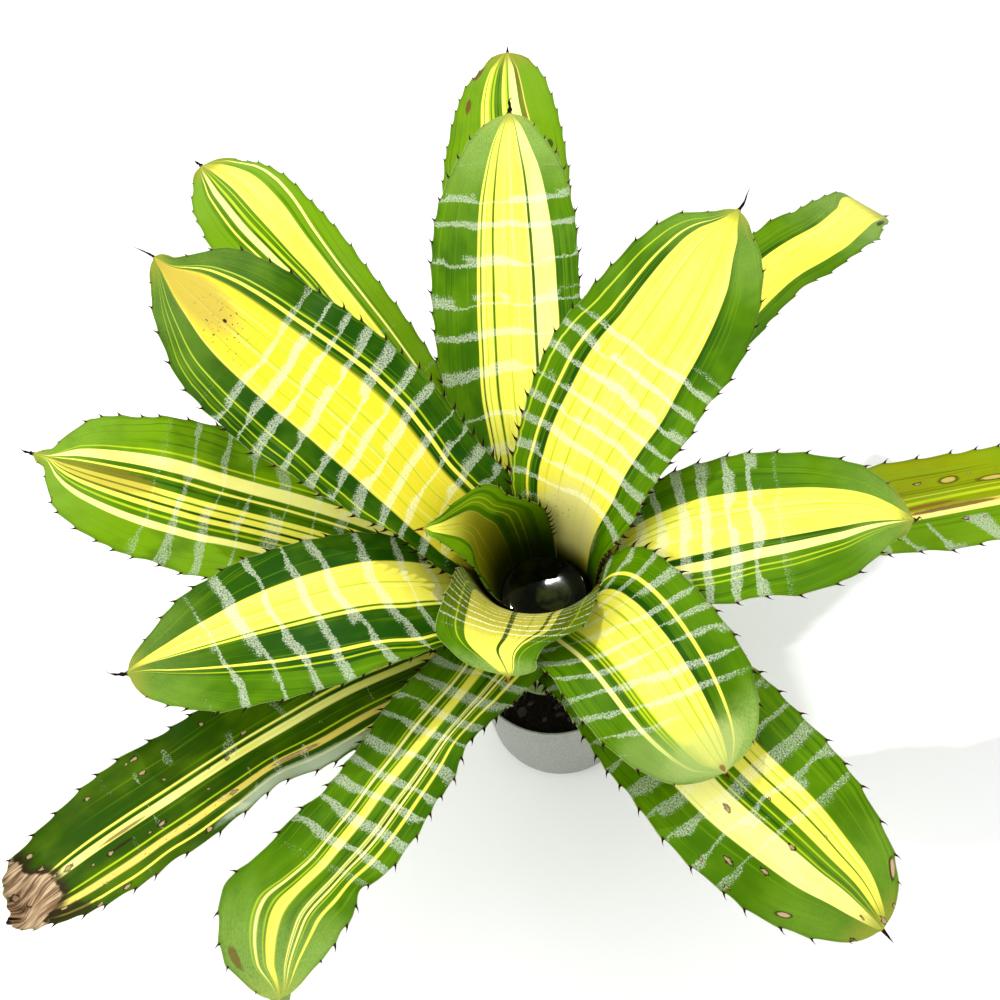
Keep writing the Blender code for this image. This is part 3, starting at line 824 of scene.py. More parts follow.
def stripe_ramp(tree, value, ground, lines, edge):
    """The colour across the leaf: fields from (start, tone), crossed by lines of (middle, half, tone).

    edge is how far a line's colour fades, and a field may name another softness for its first edge. One
    colour ramp holds the half of the leaf below the midrib's share, 0.5, and another the half above.
    """
    stops = [(0.0, ground[0][1])]
    for (_, before, *_), (start, tone, *soft) in zip(ground, ground[1:]):
        reach = soft[0] if soft else edge
        stops += [(start - reach, before), (start + reach, tone)]
    for middle, half, tone in lines:
        field = [name for start, name, *_ in ground if start <= middle][-1]
        stops += [(middle - half - edge, field), (middle - half + edge / 2, tone),
                  (middle + half - edge / 2, tone), (middle + half + edge, field)]
    stops.sort()
    middle_tone = [tone for position, tone in stops if position <= 0.5][-1]
    halves = []
    for chosen in ([stop for stop in stops if stop[0] <= 0.5],
                   [(0.5, middle_tone)] + [stop for stop in stops if stop[0] > 0.5]):
        node = add(tree, "ShaderNodeValToRGB", {0: value})
        while len(node.color_ramp.elements) < len(chosen):
            node.color_ramp.elements.new(1.0)
        while len(node.color_ramp.elements) > len(chosen):
            node.color_ramp.elements.remove(node.color_ramp.elements[-1])
        for element, (position, tone) in zip(node.color_ramp.elements, chosen):
            element.position = position
            element.color = TONES[tone]
        halves.append(node.outputs[0])
    return mixed(tree, maths(tree, "GREATER_THAN", value, 0.5), *halves)


def leaf_finish(leaf, seed, ground, lines, bands, stains, bloom_and_sheen, damage, age, painted_shade, soft, withered, tip):
    """A leaf's skin: stripes, hair lines, painted shade, a bloom partly painted as sheen, stains, silver
    bands, damage, edge, underside and horn.
    """
    material, tree, shader = new_material(leaf.name, 0.42)
    shader.inputs["Specular IOR Level"].default_value = 0.045
    uv = add(tree, "ShaderNodeUVMap", uv_map="stripes").outputs[0]
    across_leaf = add(tree, "ShaderNodeSeparateXYZ", {0: uv}).outputs[0]
    place = add(tree, "ShaderNodeAttribute", attribute_name="place").outputs["Vector"]
    marks = add(tree, "ShaderNodeAttribute", attribute_name="marks").outputs["Vector"]
    edge, horn, below = add(tree, "ShaderNodeSeparateXYZ", {0: marks}).outputs
    _, along, out = add(tree, "ShaderNodeSeparateXYZ", {0: place}).outputs

    waver = noise(tree, place, (50.0, 14.0, 0.0), 3.0, 0.6)
    stripe = maths(tree, "ADD", across_leaf, maths(tree, "MULTIPLY_ADD", waver, 0.012, -0.006))
    skin = stripe_ramp(tree, stripe, ground, lines, soft)
    yellow = ranged(tree, add(tree, "ShaderNodeSeparateColor", {0: skin}).outputs[0], 0.20, 0.75)
    green = maths(tree, "SUBTRACT", 1.0, yellow)

    hairs = filled(tree, HAIR_LINES, {"Stripe": stripe, "Along": along, "Seed": seed * 3.7})
    clouds = noise(tree, place, (30.0, 16.0, 0.0), 3.0, 0.6)
    light_cloud = ranged(tree, clouds, 0.42, 0.70)
    dark_cloud = ranged(tree, clouds, 0.56, 0.34)
    closing = ranged(tree, maths(tree, "MULTIPLY_ADD", waver, 0.03, out), 0.955, 1.012)
    # The gold towards the base is partly the yellow's own tone, partly painted shade. The dark olive tints
    # and the olive on the yellow are painted shade: at every sheath's base, and down the inside of the tank.
    for tone, *shares in (
            ("fresh", light_cloud, green, 0.30 + 0.3 * age), ("deep", dark_cloud, green, 0.55 * (1 - age)),
            ("gold", dark_cloud, yellow, 0.40), ("deep", hairs["Dark"], green, 0.55),
            ("fresh", hairs["Light"], green, 0.45), ("lime", hairs["Dark"], yellow, 0.40),
            ("cream", hairs["Light"], yellow, 0.60), ("gold", ranged(tree, out, 0.30, 0.05), yellow, 0.6),
            ("shade", ranged(tree, out, 0.16, -0.12), 0.90 if painted_shade == 0 else painted_shade / 4),
            (linear(120, 120, 8), ranged(tree, out, 1.0, 0.25), yellow, painted_shade),
            ("shade", ranged(tree, out, 0.42, -0.75), painted_shade),
            ("fresh", ranged(tree, out, 0.55, 0.95), green, 0.20 * (withered == 0)),
            (linear(140, 140, 40), closing, 0.80)):
        skin = tinted(tree, skin, tone, *shares)

    # A grey-green bloom towards the tip: partly the leaf's own scales, partly a painted sheen.
    bloom_and_sheen_mask = ranged(tree, maths(tree, "MULTIPLY_ADD", clouds, 0.16, out), 0.84, 1.02)
    grain = ranged(tree, noise(tree, place, (1500.0, 500.0, 0.0), 2.0, 0.7), 0.32, 0.62, 0.5, 1.0)
    bloom_and_sheen_mask = times(tree, bloom_and_sheen_mask, grain, maths(tree, "MULTIPLY_ADD", green, 0.75, 0.25))
    skin = tinted(tree, skin, "bloom_and_sheen", bloom_and_sheen_mask, bloom_and_sheen)

    dots = ranged(tree, noise(tree, place, (560.0, 460.0, 0.0), 1.0), 0.66, 0.70)
    for middle, height, half_across, half_along, tone, strength, *dotted in stains:
        mask = filled(tree, PATCH, {"Place": place, "Stripe": across_leaf, "U": middle, "V": height,
                                    "W": half_across, "H": half_along})["Mask"]
        skin = tinted(tree, skin, tone, mask, strength, dots if dotted else 1.0)

    spacing, first, width, start, stop, strength, tilt, *side = bands
    reach = leaf.bend + leaf.blade
    band = filled(tree, BANDS, {"Place": place, "Spacing": spacing, "First": leaf.sheath + first * reach,
                                "Tilt": tilt, "Width": width, "Start": start, "Stop": stop,
                                "Density": strength, "Seed": seed * 1.31})["Mask"]
    if side:
        band = times(tree, band, ranged(tree, across_leaf, side[0], side[0] - 0.03))
    skin = tinted(tree, skin, "silver", band, green, 0.92)
    skin = tinted(tree, skin, linear(252, 250, 200), band, yellow, 0.75)

    if withered:
        waist = ranged(tree, maths(tree, "ABSOLUTE", maths(tree, "SUBTRACT", across_leaf, 0.58)), 0.30, 0.10)
        torn = noise(tree, place, (260.0, 60.0, 0.0), 3.0, 0.7)
        level = maths(tree, "ADD", maths(tree, "MULTIPLY_ADD", waist, 0.035, out), times(tree, torn, 0.03))
        fibre = ranged(tree, noise(tree, place, (520.0, 22.0, 0.0), 3.0, 0.7), 0.40, 0.62)
        dry = mixed(tree, fibre, linear(112, 84, 60), linear(204, 178, 140))
        skin = tinted(tree, skin, "dark", ranged(tree, level, 0.925, 0.945), 0.9)
        skin = mixed(tree, ranged(tree, level, 0.948, 0.954), skin, dry)
    amount = times(tree, ranged(tree, out, 0.1, 0.8, 0.3, 1.0), damage)
    spots = filled(tree, BLEMISHES, {"Place": place, "Amount": amount, "Seed": seed * 2.3})
    skin = tinted(tree, skin, "dark", spots["Ring"], 0.85)
    skin = tinted(tree, skin, "papery", spots["Middle"], 0.75)

    rim = ranged(tree, edge, 0.0007, 0.0002)
    skin = tinted(tree, skin, "deep", ranged(tree, edge, 0.004, 0.001), 0.25)
    skin = tinted(tree, skin, linear(196, 206, 120), rim, 0.5)
    under = mixed(tree, 0.5, skin, linear(122, 150, 84))
    scales = ranged(tree, noise(tree, place, (12.0, 95.0, 0.0), 3.0, 0.7), 0.48, 0.66, 0.0, 0.45)
    skin = mixed(tree, below, skin, mixed(tree, scales, under, TONES["silver"]))
    at_end = ranged(tree, out, 0.985, 0.995)
    for low, high, plain, special in ((0.30, 0.38, HORN_FOOT, tip.foot), (0.42, 0.58, HORN_POINT, tip.point)):
        skin = tinted(tree, skin, mixed(tree, at_end, plain, special), ranged(tree, horn, low, high))
    rough = maths(tree, "MULTIPLY_ADD", band, 0.25, 0.40)
    tree.links.new(maths(tree, "MULTIPLY_ADD", spots["Ring"], 0.25, rough), shader.inputs["Roughness"])
    height = maths(tree, "MULTIPLY_ADD", band, 0.35, hairs["Relief"])
    height = maths(tree, "MULTIPLY_ADD", spots["Ring"], -0.6, height)
    surfaced(tree, shader, skin, height, 0.35, 0.0005)
    return material


def grow(leaf, ground, lines, bands, drift=((0.0, 0.0, 1.0), (0.9, 0.0, 1.0), (1.0, 0.0, 0.4)),
         left=((0.0, 1.0),), right=((0.0, 1.0),), lean=0.0, wave=0.0014, pitch=0.0145, thorn=0.0048,
         tip=PLAIN_TIP, bloom_and_sheen=0.6, damage=0.0, age=0.0, painted_shade=0.0, soft=0.003, stains=(), withered=0.0):
    """Makes one leaf: its sheet and its spines in one mesh, with its stripes laid out over the sheet.

    ground and lines are the stripes, as stripe_ramp takes them. bands is (spacing, first, width, start,
    stop, density, tilt), and the side of the leaf that they keep to, if any. A stain is (across, out, half
    across, half out, tone, strength), and may be dotted. drift gives, at a few shares of the blade's length,
    how far the stripes lie off their usual place and how wide they spread. left and right give the share of
    the half width that each margin keeps, and lean bends the tip sideways.
    """
    seed = int(leaf.name[5:7])
    random = np.random.default_rng(seed)
    line = leaf_line(leaf, leaf_rows(leaf, tip.length), tip)
    line["shift"] = line["shift"] + lean * smooth((line["out"] - 0.2) / 0.8)
    places = [thorn_places(leaf, random, pitch), thorn_places(leaf, random, pitch)]
    shares = [np.where(line["s"] > line["end"], 1.0, eased(points, line["out"])) for points in (left, right)]
    sheet, across, share, below, edge = leaf_sheet(line, places, shares, wave, withered, tip, random)
    rows, around = sheet.shape[:2]
    thorns, thorn_faces, thorn_place, thorn_share, thorn_horn = leaf_thorns(line, places, sheet, thorn)
    quads, caps = tube_faces(rows, around)
    faces = [face[::-1] for face in quads.tolist() + caps]
    faces += [[corner + rows * around for corner in face] for face in thorn_faces]

    s = line["s"][:, None] + 0 * across
    sheet_place = np.stack([across, s, line["out"][:, None] + 0 * across], -1).reshape(-1, 3)
    place = np.vstack([sheet_place, thorn_place])
    share = np.concatenate([share.ravel(), thorn_share])
    moved = eased([(at, shift) for at, shift, _ in drift], place[:, 2])
    spread = eased([(at, wide) for at, _, wide in drift], place[:, 2])
    stripe = 0.5 + (share - 0.5 - moved) / spread
    horn = np.concatenate([smooth((s - line["end"] + 0.0015) / 0.006).ravel(), thorn_horn])
    below = np.concatenate([below.ravel(), 0 * thorn_share])
    edge = np.concatenate([np.where(s > line["end"] - 0.004, FAR_FROM_EDGE, edge).ravel(),
                           FAR_FROM_EDGE + 0 * thorn_share])

    material = leaf_finish(leaf, seed, ground, lines, bands, stains, bloom_and_sheen, damage, age, painted_shade, soft,
                           withered, tip)
    made = new_object(leaf.name[8:] + "_leaf", np.vstack([sheet.reshape(-1, 3), thorns]), faces, material)
    mesh = made.data
    corners = np.zeros(len(mesh.loops), int)
    mesh.loops.foreach_get("vertex_index", corners)
    uv = mesh.uv_layers.new(name="stripes")
    uv.data.foreach_set("uv", np.stack([stripe, place[:, 1]], -1)[corners].ravel())
    mesh.attributes.new("place", "FLOAT_VECTOR", "POINT").data.foreach_set("vector", place.ravel())
    marks = np.stack([edge, horn, below], -1)
    mesh.attributes.new("marks", "FLOAT_VECTOR", "POINT").data.foreach_set("vector", marks.ravel())
    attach(made, "root")
    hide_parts(leaf.name)


# The heart: the youngest leaf, rolled round the tank, its short tip pinched and bent to the left.
# Its inside darkens to olive and near black towards the water: painted shade.
HEART = Leaf("leaf_01_heart", 0, 145, 0.142, 0.012, 45, 25, 0, 30, 0, 0, 0.048, 0,
             105, 0.045, 1.0, 2.2, 0.8)
grow(HEART,
     ground=((0.0, "fresh"), (0.10, "green"), (0.15, "fresh"), (0.30, "green"), (0.37, "yellow", 0.012),
             (0.71, "green"), (0.76, "fresh")),
     lines=((0.20, 0.006, "lime"), (0.26, 0.006, "lime"), (0.52, 0.004, "olive"), (0.60, 0.005, "lime")),
     bands=(0.016, 0.5, 0.2, 0.2, 0.9, 0.1, 0.0),
     left=((-0.5, 0.80), (0.2, 0.80), (0.42, 0.92), (0.60, 0.62), (1.0, 0.3)),
     right=((0.0, 1.0), (0.3, 0.88), (0.6, 0.70), (1.0, 0.5)), lean=0.018, wave=0.0004, pitch=0.010,
     thorn=0.0034, bloom_and_sheen=0.1, painted_shade=0.95,
     tip=Tip(0.008, 0.0011, 0.001, 0.0, 0.0, linear(120, 56, 26), linear(70, 32, 16)))

# The lip: the second youngest, folded down over the tank's front edge.
# The dark olive stain below the fold is painted shade.
grow(Leaf("leaf_02_lip", 1, 250, 0.160, 0.010, -10, -45, -60, 0, 0, 0, 0.046, 0, 85, 0.050, 1.2),
     ground=((0.0, "green"), (0.18, "yellow"), (0.74, "green")),
     lines=((0.115, 0.005, "lime"), (0.465, 0.014, "deep"), (0.585, 0.004, "lime"), (0.682, 0.012, "deep"),
            (0.88, 0.006, "lime")), bands=(0.0034, 0.3, 0.30, -0.15, 0.74, 0.95, 0.0),
     drift=((0.4, 0.0, 1.0), (0.62, -0.02, 0.9), (0.78, -0.07, 0.66), (1.0, 0.0, 0.5)),
     left=((0.7, 1.0), (0.9, 0.85)),
     right=((0.42, 1.0), (0.54, 0.92), (0.62, 0.60), (0.70, 0.42), (0.8, 0.38), (0.92, 0.5)),
     stains=((0.5, 0.05, 1.2, 0.68, linear(84, 80, 6), 0.66),), wave=0.0006, pitch=0.012, thorn=0.0030,
     bloom_and_sheen=0.9, tip=Tip(0.006, 0.0013, 0.0, 0.0, 0.0, linear(196, 116, 44), linear(150, 84, 36)))

# The broad back leaf: the widest, with a clear yellow field that pales to cream at its base.
# The darkening of its base down inside the tank is painted shade.
grow(Leaf("leaf_03_broad_back", 2, 48, 0.136, 0.190, 50, 22, 18, -14, 0, 0, 0.056, 0.20, 52, 0.032, 0.80,
          0.42, 1.4),
     ground=((0.0, "green"), (0.20, "deep", 0.03), (0.237, "yellow"), (0.753, "deep"), (0.80, "green")),
     lines=((0.38, 0.004, "lime"), (0.46, 0.003, "lime"), (0.607, 0.004, "lime"), (0.70, 0.003, "lime"),
            (0.822, 0.007, "yellow"), (0.915, 0.005, "lime")),
     bands=(0.0135, 0.33, 0.46, 0.0, 0.66, 0.95, -0.12),
     drift=((0.2, 0.022, 1.09), (0.4, -0.005, 1.10), (0.6, 0.0, 1.0), (0.8, 0.016, 0.93),
            (0.9, 0.034, 0.81), (0.97, 0.028, 0.66), (1.0, 0.02, 0.5)),
     left=((0.78, 1.0), (0.88, 0.94), (0.93, 0.92), (0.97, 0.70)),
     right=((0.5, 1.0), (0.6, 0.94), (0.85, 0.92), (0.90, 0.86), (0.95, 0.63), (0.97, 0.55)), painted_shade=0.04,
     tip=Tip(0.015, 0.0012, 0.003, 0.003, 0.3, linear(60, 26, 14), HORN_POINT), bloom_and_sheen=0.35, thorn=0.0044,
     stains=((0.50, -0.03, 0.30, 0.17, linear(226, 220, 140), 0.75),
             (0.62, 0.02, 0.16, 0.06, "dark", 0.45, "dotted"), (0.5, -0.42, 2.0, 0.30, "shade", 0.95)))

# The front right leaf: short, arching down over the pot, with a pale hazy tip that is partly a painted sheen.
grow(Leaf("leaf_04_front_right", 2, 298, 0.126, 0.130, 42, 5, -36, -5, 0, 0, 0.051, 0, 44, 0.030, 1.1, 0.42,
          1.2),
     ground=((0.0, "green"), (0.226, "cream"), (0.254, "green"), (0.300, "lime"), (0.355, "yellow"),
             (0.685, "deep"), (0.72, "green")),
     lines=((0.277, 0.006, "deep"), (0.318, 0.003, "green"), (0.340, 0.003, "green"),
            (0.504, 0.005, "lime"), (0.580, 0.006, "lime"), (0.642, 0.004, "lime"),
            (0.796, 0.010, "yellow")), bands=(0.0140, 0.33, 0.42, -0.1, 0.86, 0.85, -0.30),
     drift=((0.3, 0.015, 1.02), (0.5, 0.0, 1.0), (0.8, -0.035, 0.93), (0.93, -0.04, 0.86), (1.0, 0.0, 0.6)),
     right=((0.4, 1.0), (0.65, 0.95), (0.8, 0.95), (0.95, 1.0)), bloom_and_sheen=1.0,
     tip=Tip(0.005, 0.0014, 0.0, 0.0, 0.3, linear(120, 60, 30), linear(60, 30, 16)),
     stains=((0.5, 0.95, 0.5, 0.13, linear(190, 204, 120), 0.55), (0.15, 0.9, 0.3, 0.2, "bloom_and_sheen", 0.5),
             (0.5, 0.99, 0.09, 0.02, linear(128, 86, 44), 0.8)))

# The broad left leaf, with the clearest silver bands. Its yellow dulls and is freckled near the tip.
grow(Leaf("leaf_05_broad_left", 3, 139, 0.128, 0.245, 48, 26, 14, 0, 0, 0, 0.055, -0.30, 50, 0.035, 0.65,
          0.42, 1.3), ground=((0.0, "deep"), (0.272, "gold", 0.014), (0.713, "deep", 0.006)),
     lines=((0.167, 0.005, "lime"), (0.213, 0.011, "yellow"), (0.413, 0.004, "lime"),
            (0.507, 0.004, "lime"), (0.613, 0.003, "lime"), (0.837, 0.004, "lime"), (0.903, 0.003, "lime"),
            (0.957, 0.003, "lime")), bands=(0.0158, 0.56, 0.46, 0.05, 0.80, 1.0, 0.08),
     drift=((0.2, 0.114, 1.14), (0.3, 0.07, 1.11), (0.4, 0.033, 1.08), (0.6, 0.0, 1.0), (0.8, 0.002, 0.94),
            (0.9, 0.005, 0.79), (0.95, 0.011, 0.62), (1.0, 0.03, 0.4)),
     left=((0.88, 1.0), (0.90, 0.96), (0.93, 0.78), (0.95, 0.55), (0.97, 0.35)),
     right=((0.75, 1.0), (0.85, 0.92), (0.90, 0.87), (0.95, 0.75), (0.97, 0.66)),
     tip=Tip(0.013, 0.0009, 0.004, 0.006, 0.3, HORN_POINT, HORN_POINT), bloom_and_sheen=0.25,
     stains=((0.5, 0.95, 0.24, 0.22, linear(186, 164, 66), 0.85),
             (0.50, 0.80, 0.14, 0.07, "dark", 0.8, "dotted"),
             (0.60, 0.78, 0.20, 0.10, "brown", 0.7, "dotted"), (0.50, 0.79, 0.014, 0.006, "dark", 1.0)))

# The upright back leaf, with dark lines in its yellow field and a shrivelled black tip.
grow(Leaf("leaf_06_upright_back", 4, 88, 0.112, 0.262, 42, 20, 6, -12, 0, 0, 0.050, 0, 44),
     ground=((0.0, "green"), (0.163, "cream"), (0.33, "yellow"), (0.68, "green")),
     lines=((0.31, 0.009, "deep"), (0.37, 0.002, "lime"), (0.47, 0.003, "lime"), (0.57, 0.007, "green"),
            (0.62, 0.003, "lime"), (0.655, 0.005, "green")),
     bands=(0.0245, 0.61, 0.36, 0.05, 0.95, 0.85, 0.0),
     drift=((0.3, 0.029, 1.12), (0.45, 0.01, 1.03), (0.6, 0.0, 1.0), (0.8, 0.012, 0.934),
            (0.9, 0.023, 0.87), (0.97, 0.015, 0.76), (1.0, 0.0, 0.6)),
     left=((0.85, 1.0), (0.93, 0.92), (0.98, 0.90)),
     right=((0.4, 0.96), (0.75, 0.96), (0.9, 0.88), (0.97, 0.88)),
     tip=Tip(0.014, 0.0019, -0.001, 0.002, 1.0, linear(84, 72, 30), HORN_POINT), bloom_and_sheen=0.75)

# The left front leaf: its yellow field lies off the middle.
grow(Leaf("leaf_07_left_front", 4, 191, 0.112, 0.205, 48, 10, -5, 0, 0, 0, 0.049, -0.15, 44, 0.035, 0.60),
     ground=((0.0, "deep"), (0.237, "yellow"), (0.523, "deep"), (0.83, "green")),
     lines=((0.36, 0.003, "lime"), (0.497, 0.006, "green"), (0.74, 0.010, "yellow"),
            (0.797, 0.005, "lime")), bands=(0.0204, 0.355, 0.38, 0.0, 0.92, 0.95, 0.22),
     drift=((0.3, 0.05, 1.30), (0.4, 0.02, 1.17), (0.6, 0.0, 1.0), (0.8, -0.02, 0.734), (0.9, -0.04, 0.58),
            (0.97, -0.075, 0.45), (1.0, -0.08, 0.4)),
     left=((0.7, 1.0), (0.8, 0.93), (0.9, 0.81), (0.97, 0.66)), bloom_and_sheen=0.3,
     tip=Tip(0.013, 0.0016, -0.007, 0.001, 0.8, linear(80, 50, 26), HORN_POINT))

# The right leaf: a cream stripe beside its yellow field, and brown bits at its tip.
grow(Leaf("leaf_08_right", 4, 350, 0.112, 0.174, 46, 12, -5, 0, 0, 0, 0.049, 0, 40),
     ground=((0.0, "green"), (0.297, "cream"), (0.363, "deep"), (0.413, "yellow"), (0.747, "green")),
     lines=((0.207, 0.004, "lime"), (0.247, 0.005, "lime"), (0.62, 0.004, "lime"), (0.66, 0.004, "lime"),
            (0.70, 0.003, "lime")), bands=(0.0150, 0.57, 0.60, 0.0, 0.74, 0.95, 0.0),
     drift=((0.4, -0.011, 1.11), (0.6, 0.0, 1.0), (0.8, 0.027, 0.889), (0.9, 0.047, 0.77),
            (0.95, 0.041, 0.66), (1.0, 0.03, 0.5)),
     left=((0.6, 1.0), (0.8, 0.92), (0.85, 0.84), (0.9, 0.72), (0.95, 0.59)), bloom_and_sheen=0.4, age=0.7,
     tip=Tip(0.006, 0.0016, 0.0, 0.001, 0.9, linear(110, 70, 36), linear(50, 30, 18)),
     stains=((0.46, 0.985, 0.2, 0.012, "brown", 0.8, "dotted"),))

# The back left leaf: light green, seen past the broad left one.
grow(Leaf("leaf_09_back_left", 5, 118, 0.098, 0.345, 34, 14, -12, 0, 0, 0, 0.043, 0, 44),
     ground=((0.0, "fresh"), (0.22, "yellow"), (0.463, "green"), (0.607, "cream"), (0.673, "green"),
             (0.78, "fresh")),
     lines=((0.11, 0.012, "cream"), (0.19, 0.012, "green"), (0.38, 0.004, "lime"), (0.50, 0.005, "lime"),
            (0.56, 0.014, "lime"), (0.589, 0.006, "deep"), (0.70, 0.006, "deep"), (0.73, 0.008, "yellow")),
     bands=(0.018, 0.5, 0.5, 0.0, 0.6, 0.5, 0.0), thorn=0.0034,
     drift=((0.6, -0.028, 0.70), (0.7, -0.007, 0.82), (0.8, 0.0, 1.0), (0.9, -0.013, 1.05),
            (0.97, -0.01, 1.0), (1.0, 0.0, 0.8)),
     left=((0.3, 0.84), (0.5, 0.85), (0.7, 0.94), (0.8, 1.04), (0.92, 1.18), (1.0, 1.2)),
     right=((0.9, 1.0), (0.97, 0.82)), bloom_and_sheen=0.2, age=1.0,
     tip=Tip(0.010, 0.0017, 0.001, 0.002, 1.0, linear(84, 62, 30), HORN_POINT))

# The wavy front leaf: an S curve to a blunt tip with a thin tan spine.
grow(Leaf("leaf_10_front_wavy", 5, 228, 0.098, 0.235, 12, 6, 14, -14, 55, 0, 0.037, 0, 50, 0.035, 0.70,
          0.30), ground=((0.0, "green"), (0.435, "yellow"), (0.52, "green")),
     lines=((0.315, 0.004, "lime"), (0.350, 0.010, "cream"), (0.415, 0.006, "lime"), (0.600, 0.010, "deep"),
            (0.655, 0.014, "cream"), (0.678, 0.005, "deep"), (0.705, 0.012, "cream"),
            (0.735, 0.005, "lime"), (0.810, 0.012, "yellow")),
     bands=(0.016, 0.35, 0.50, 0.0, 0.80, 0.95, 0.20),
     drift=((0.35, -0.01, 1.0), (0.5, 0.0, 1.0), (0.6, 0.045, 0.93), (0.7, 0.075, 0.9), (0.85, -0.065, 1.0),
            (0.93, -0.07, 0.88), (1.0, 0.0, 0.6)),
     left=((0.33, 1.0), (0.45, 0.83), (0.55, 0.75), (0.70, 0.76), (0.77, 0.92), (0.82, 1.22), (0.93, 1.2),
           (1.0, 0.9)),
     right=((0.20, 1.0), (0.27, 0.82), (0.35, 0.70), (0.40, 0.76), (0.47, 0.88), (0.6, 0.98), (0.7, 0.90),
            (0.8, 1.0)), bloom_and_sheen=0.7, wave=0.0030, soft=0.010,
     tip=Tip(0.009, 0.0008, 0.001, 0.0, 0.2, linear(170, 146, 90), linear(140, 112, 70)),
     stains=((0.15, 0.92, 0.05, 0.025, "brown", 0.7),))

# The left leaf, striped in many fine lines that gather at its tip.
grow(Leaf("leaf_11_left", 6, 158, 0.086, 0.298, 32, 10, -8, 0, 0, 0, 0.054, -0.30, 52, 0.035, 0.70, 0.42,
          1.2),
     ground=((0.0, "fresh"), (0.287, "cream"), (0.375, "green"), (0.50, "yellow"), (0.645, "green"),
             (0.725, "cream"), (0.773, "fresh")),
     lines=((0.25, 0.006, "lime"), (0.42, 0.008, "yellow"), (0.46, 0.006, "deep"), (0.545, 0.006, "green"),
            (0.60, 0.009, "deep"), (0.68, 0.007, "lime")), bands=(0.021, 0.65, 0.46, 0.1, 0.82, 0.75, 0.08),
     drift=((0.5, 0.01, 0.9), (0.7, 0.0, 1.0), (0.85, 0.01, 0.93), (0.93, 0.015, 0.78), (0.965, 0.0, 0.5),
            (1.0, 0.0, 0.3)), left=((0.9, 1.0), (0.93, 0.82), (0.95, 0.61), (0.97, 0.36)),
     right=((0.85, 1.0), (0.9, 0.95), (0.93, 0.82), (0.95, 0.64), (0.97, 0.38)), bloom_and_sheen=0.25, damage=0.01,
     tip=Tip(0.011, 0.0016, -0.002, 0.003, 1.0, linear(100, 74, 36), HORN_POINT),
     stains=((0.52, 0.84, 0.10, 0.15, linear(140, 118, 40), 0.55),))

# The low front right leaf: two pale fields, with old tan spots.
grow(Leaf("leaf_12_low_front_right", 6, 298, 0.086, 0.230, 38, 2, -12, 0, 0, 0, 0.054, 0.15, 52, 0.035,
          0.75, 0.42, 1.2),
     ground=((0.0, "green"), (0.28, "cream"), (0.455, "green"), (0.57, "yellow"), (0.74, "green")),
     lines=((0.475, 0.004, "lime"), (0.50, 0.006, "deep"), (0.53, 0.004, "lime"), (0.64, 0.005, "green"),
            (0.69, 0.003, "lime")), bands=(0.0172, 0.54, 0.60, 0.0, 0.86, 0.76, 0.0),
     drift=((0.3, -0.04, 1.1), (0.6, -0.027, 1.03), (0.75, 0.0, 1.0), (0.84, 0.015, 0.95),
            (0.92, 0.045, 0.84), (1.0, 0.05, 0.7)), bloom_and_sheen=0.2, damage=0.28, age=0.25,
     stains=((0.98, 0.93, 0.05, 0.022, "dark", 0.95), (0.99, 0.93, 0.035, 0.016, "papery", 1.0),
             (0.05, 0.86, 0.03, 0.016, "dark", 0.9), (0.05, 0.86, 0.02, 0.011, "papery", 0.9)))

# The back right leaf: its yellow field sweeps out to the one sharp corner of its end.
grow(Leaf("leaf_13_back_right", 7, 46, 0.078, 0.338, 30, 10, -35, -14, 0, 0, 0.035, -0.30),
     ground=((0.0, "green"), (0.18, "yellow"), (0.653, "deep"), (0.70, "green")),
     lines=((0.25, 0.003, "lime"), (0.33, 0.004, "straw"), (0.40, 0.003, "straw")),
     bands=(0.018, 0.5, 0.5, 0.0, 0.6, 0.4, 0.0), thorn=0.0032,
     drift=((0.7, 0.022, 0.985), (0.8, 0.0, 1.0), (0.9, 0.10, 1.02), (0.95, 0.20, 1.25), (1.0, 0.22, 1.3)),
     left=((0.6, 0.77), (0.7, 0.82), (0.77, 0.95), (0.9, 1.0), (0.95, 0.8)),
     right=((0.7, 0.97), (0.80, 1.0), (0.88, 1.25), (0.94, 1.7), (0.98, 2.3), (1.0, 2.4)), bloom_and_sheen=0.6,
     age=0.8,
     stains=((0.08, 0.955, 0.06, 0.02, "dark", 0.9), (0.45, 0.75, 0.12, 0.06, "brown", 0.6, "dotted")))

# The withered leaf: a thin pale stripe, brown streaks, and a dry tip curled up like paper.
grow(Leaf("leaf_14_withered_tip", 7, 201, 0.074, 0.315, 22, 8, -16, 5, 0, 0, 0.038, 0, 52, 0.035, 0.70,
          0.30),
     ground=((0.0, "moss"), (0.484, "cream"), (0.55, "moss"), (0.757, "straw"), (0.813, "moss")),
     lines=((0.440, 0.008, "yellow"), (0.467, 0.006, "deep"), (0.710, 0.006, "lime"),
            (0.890, 0.008, "yellow")), bands=(0.0178, 0.65, 0.70, 0.1, 0.86, 0.56, 0.0), soft=0.005,
     drift=((0.3, -0.08, 1.1), (0.5, -0.03, 1.05), (0.7, 0.0, 1.0), (0.9, -0.02, 1.1)),
     right=((0.4, 1.0), (0.5, 0.84), (0.6, 0.94), (0.7, 1.0)), bloom_and_sheen=0.0, damage=0.50, age=0.1, withered=1.0,
     tip=Tip(0.006, 0.0016, 0.0, 0.0, 1.0, linear(110, 80, 50), linear(60, 40, 24)),
     stains=((0.79, 0.76, 0.022, 0.14, linear(128, 84, 40), 0.8, "dotted"),
             (0.78, 0.66, 0.03, 0.22, "brown", 0.5, "dotted"), (0.79, 0.47, 0.022, 0.05, "dark", 0.8),
             (0.79, 0.47, 0.012, 0.04, "papery", 0.8), (0.53, 0.77, 0.016, 0.05, "brown", 0.8),
             (0.62, 0.78, 0.014, 0.022, "dark", 0.9), (0.93, 0.48, 0.08, 0.16, "silver", 0.8),
             (0.93, 0.91, 0.14, 0.06, "dark", 0.85), (0.80, 0.86, 0.05, 0.03, "brown", 0.7, "dotted")))

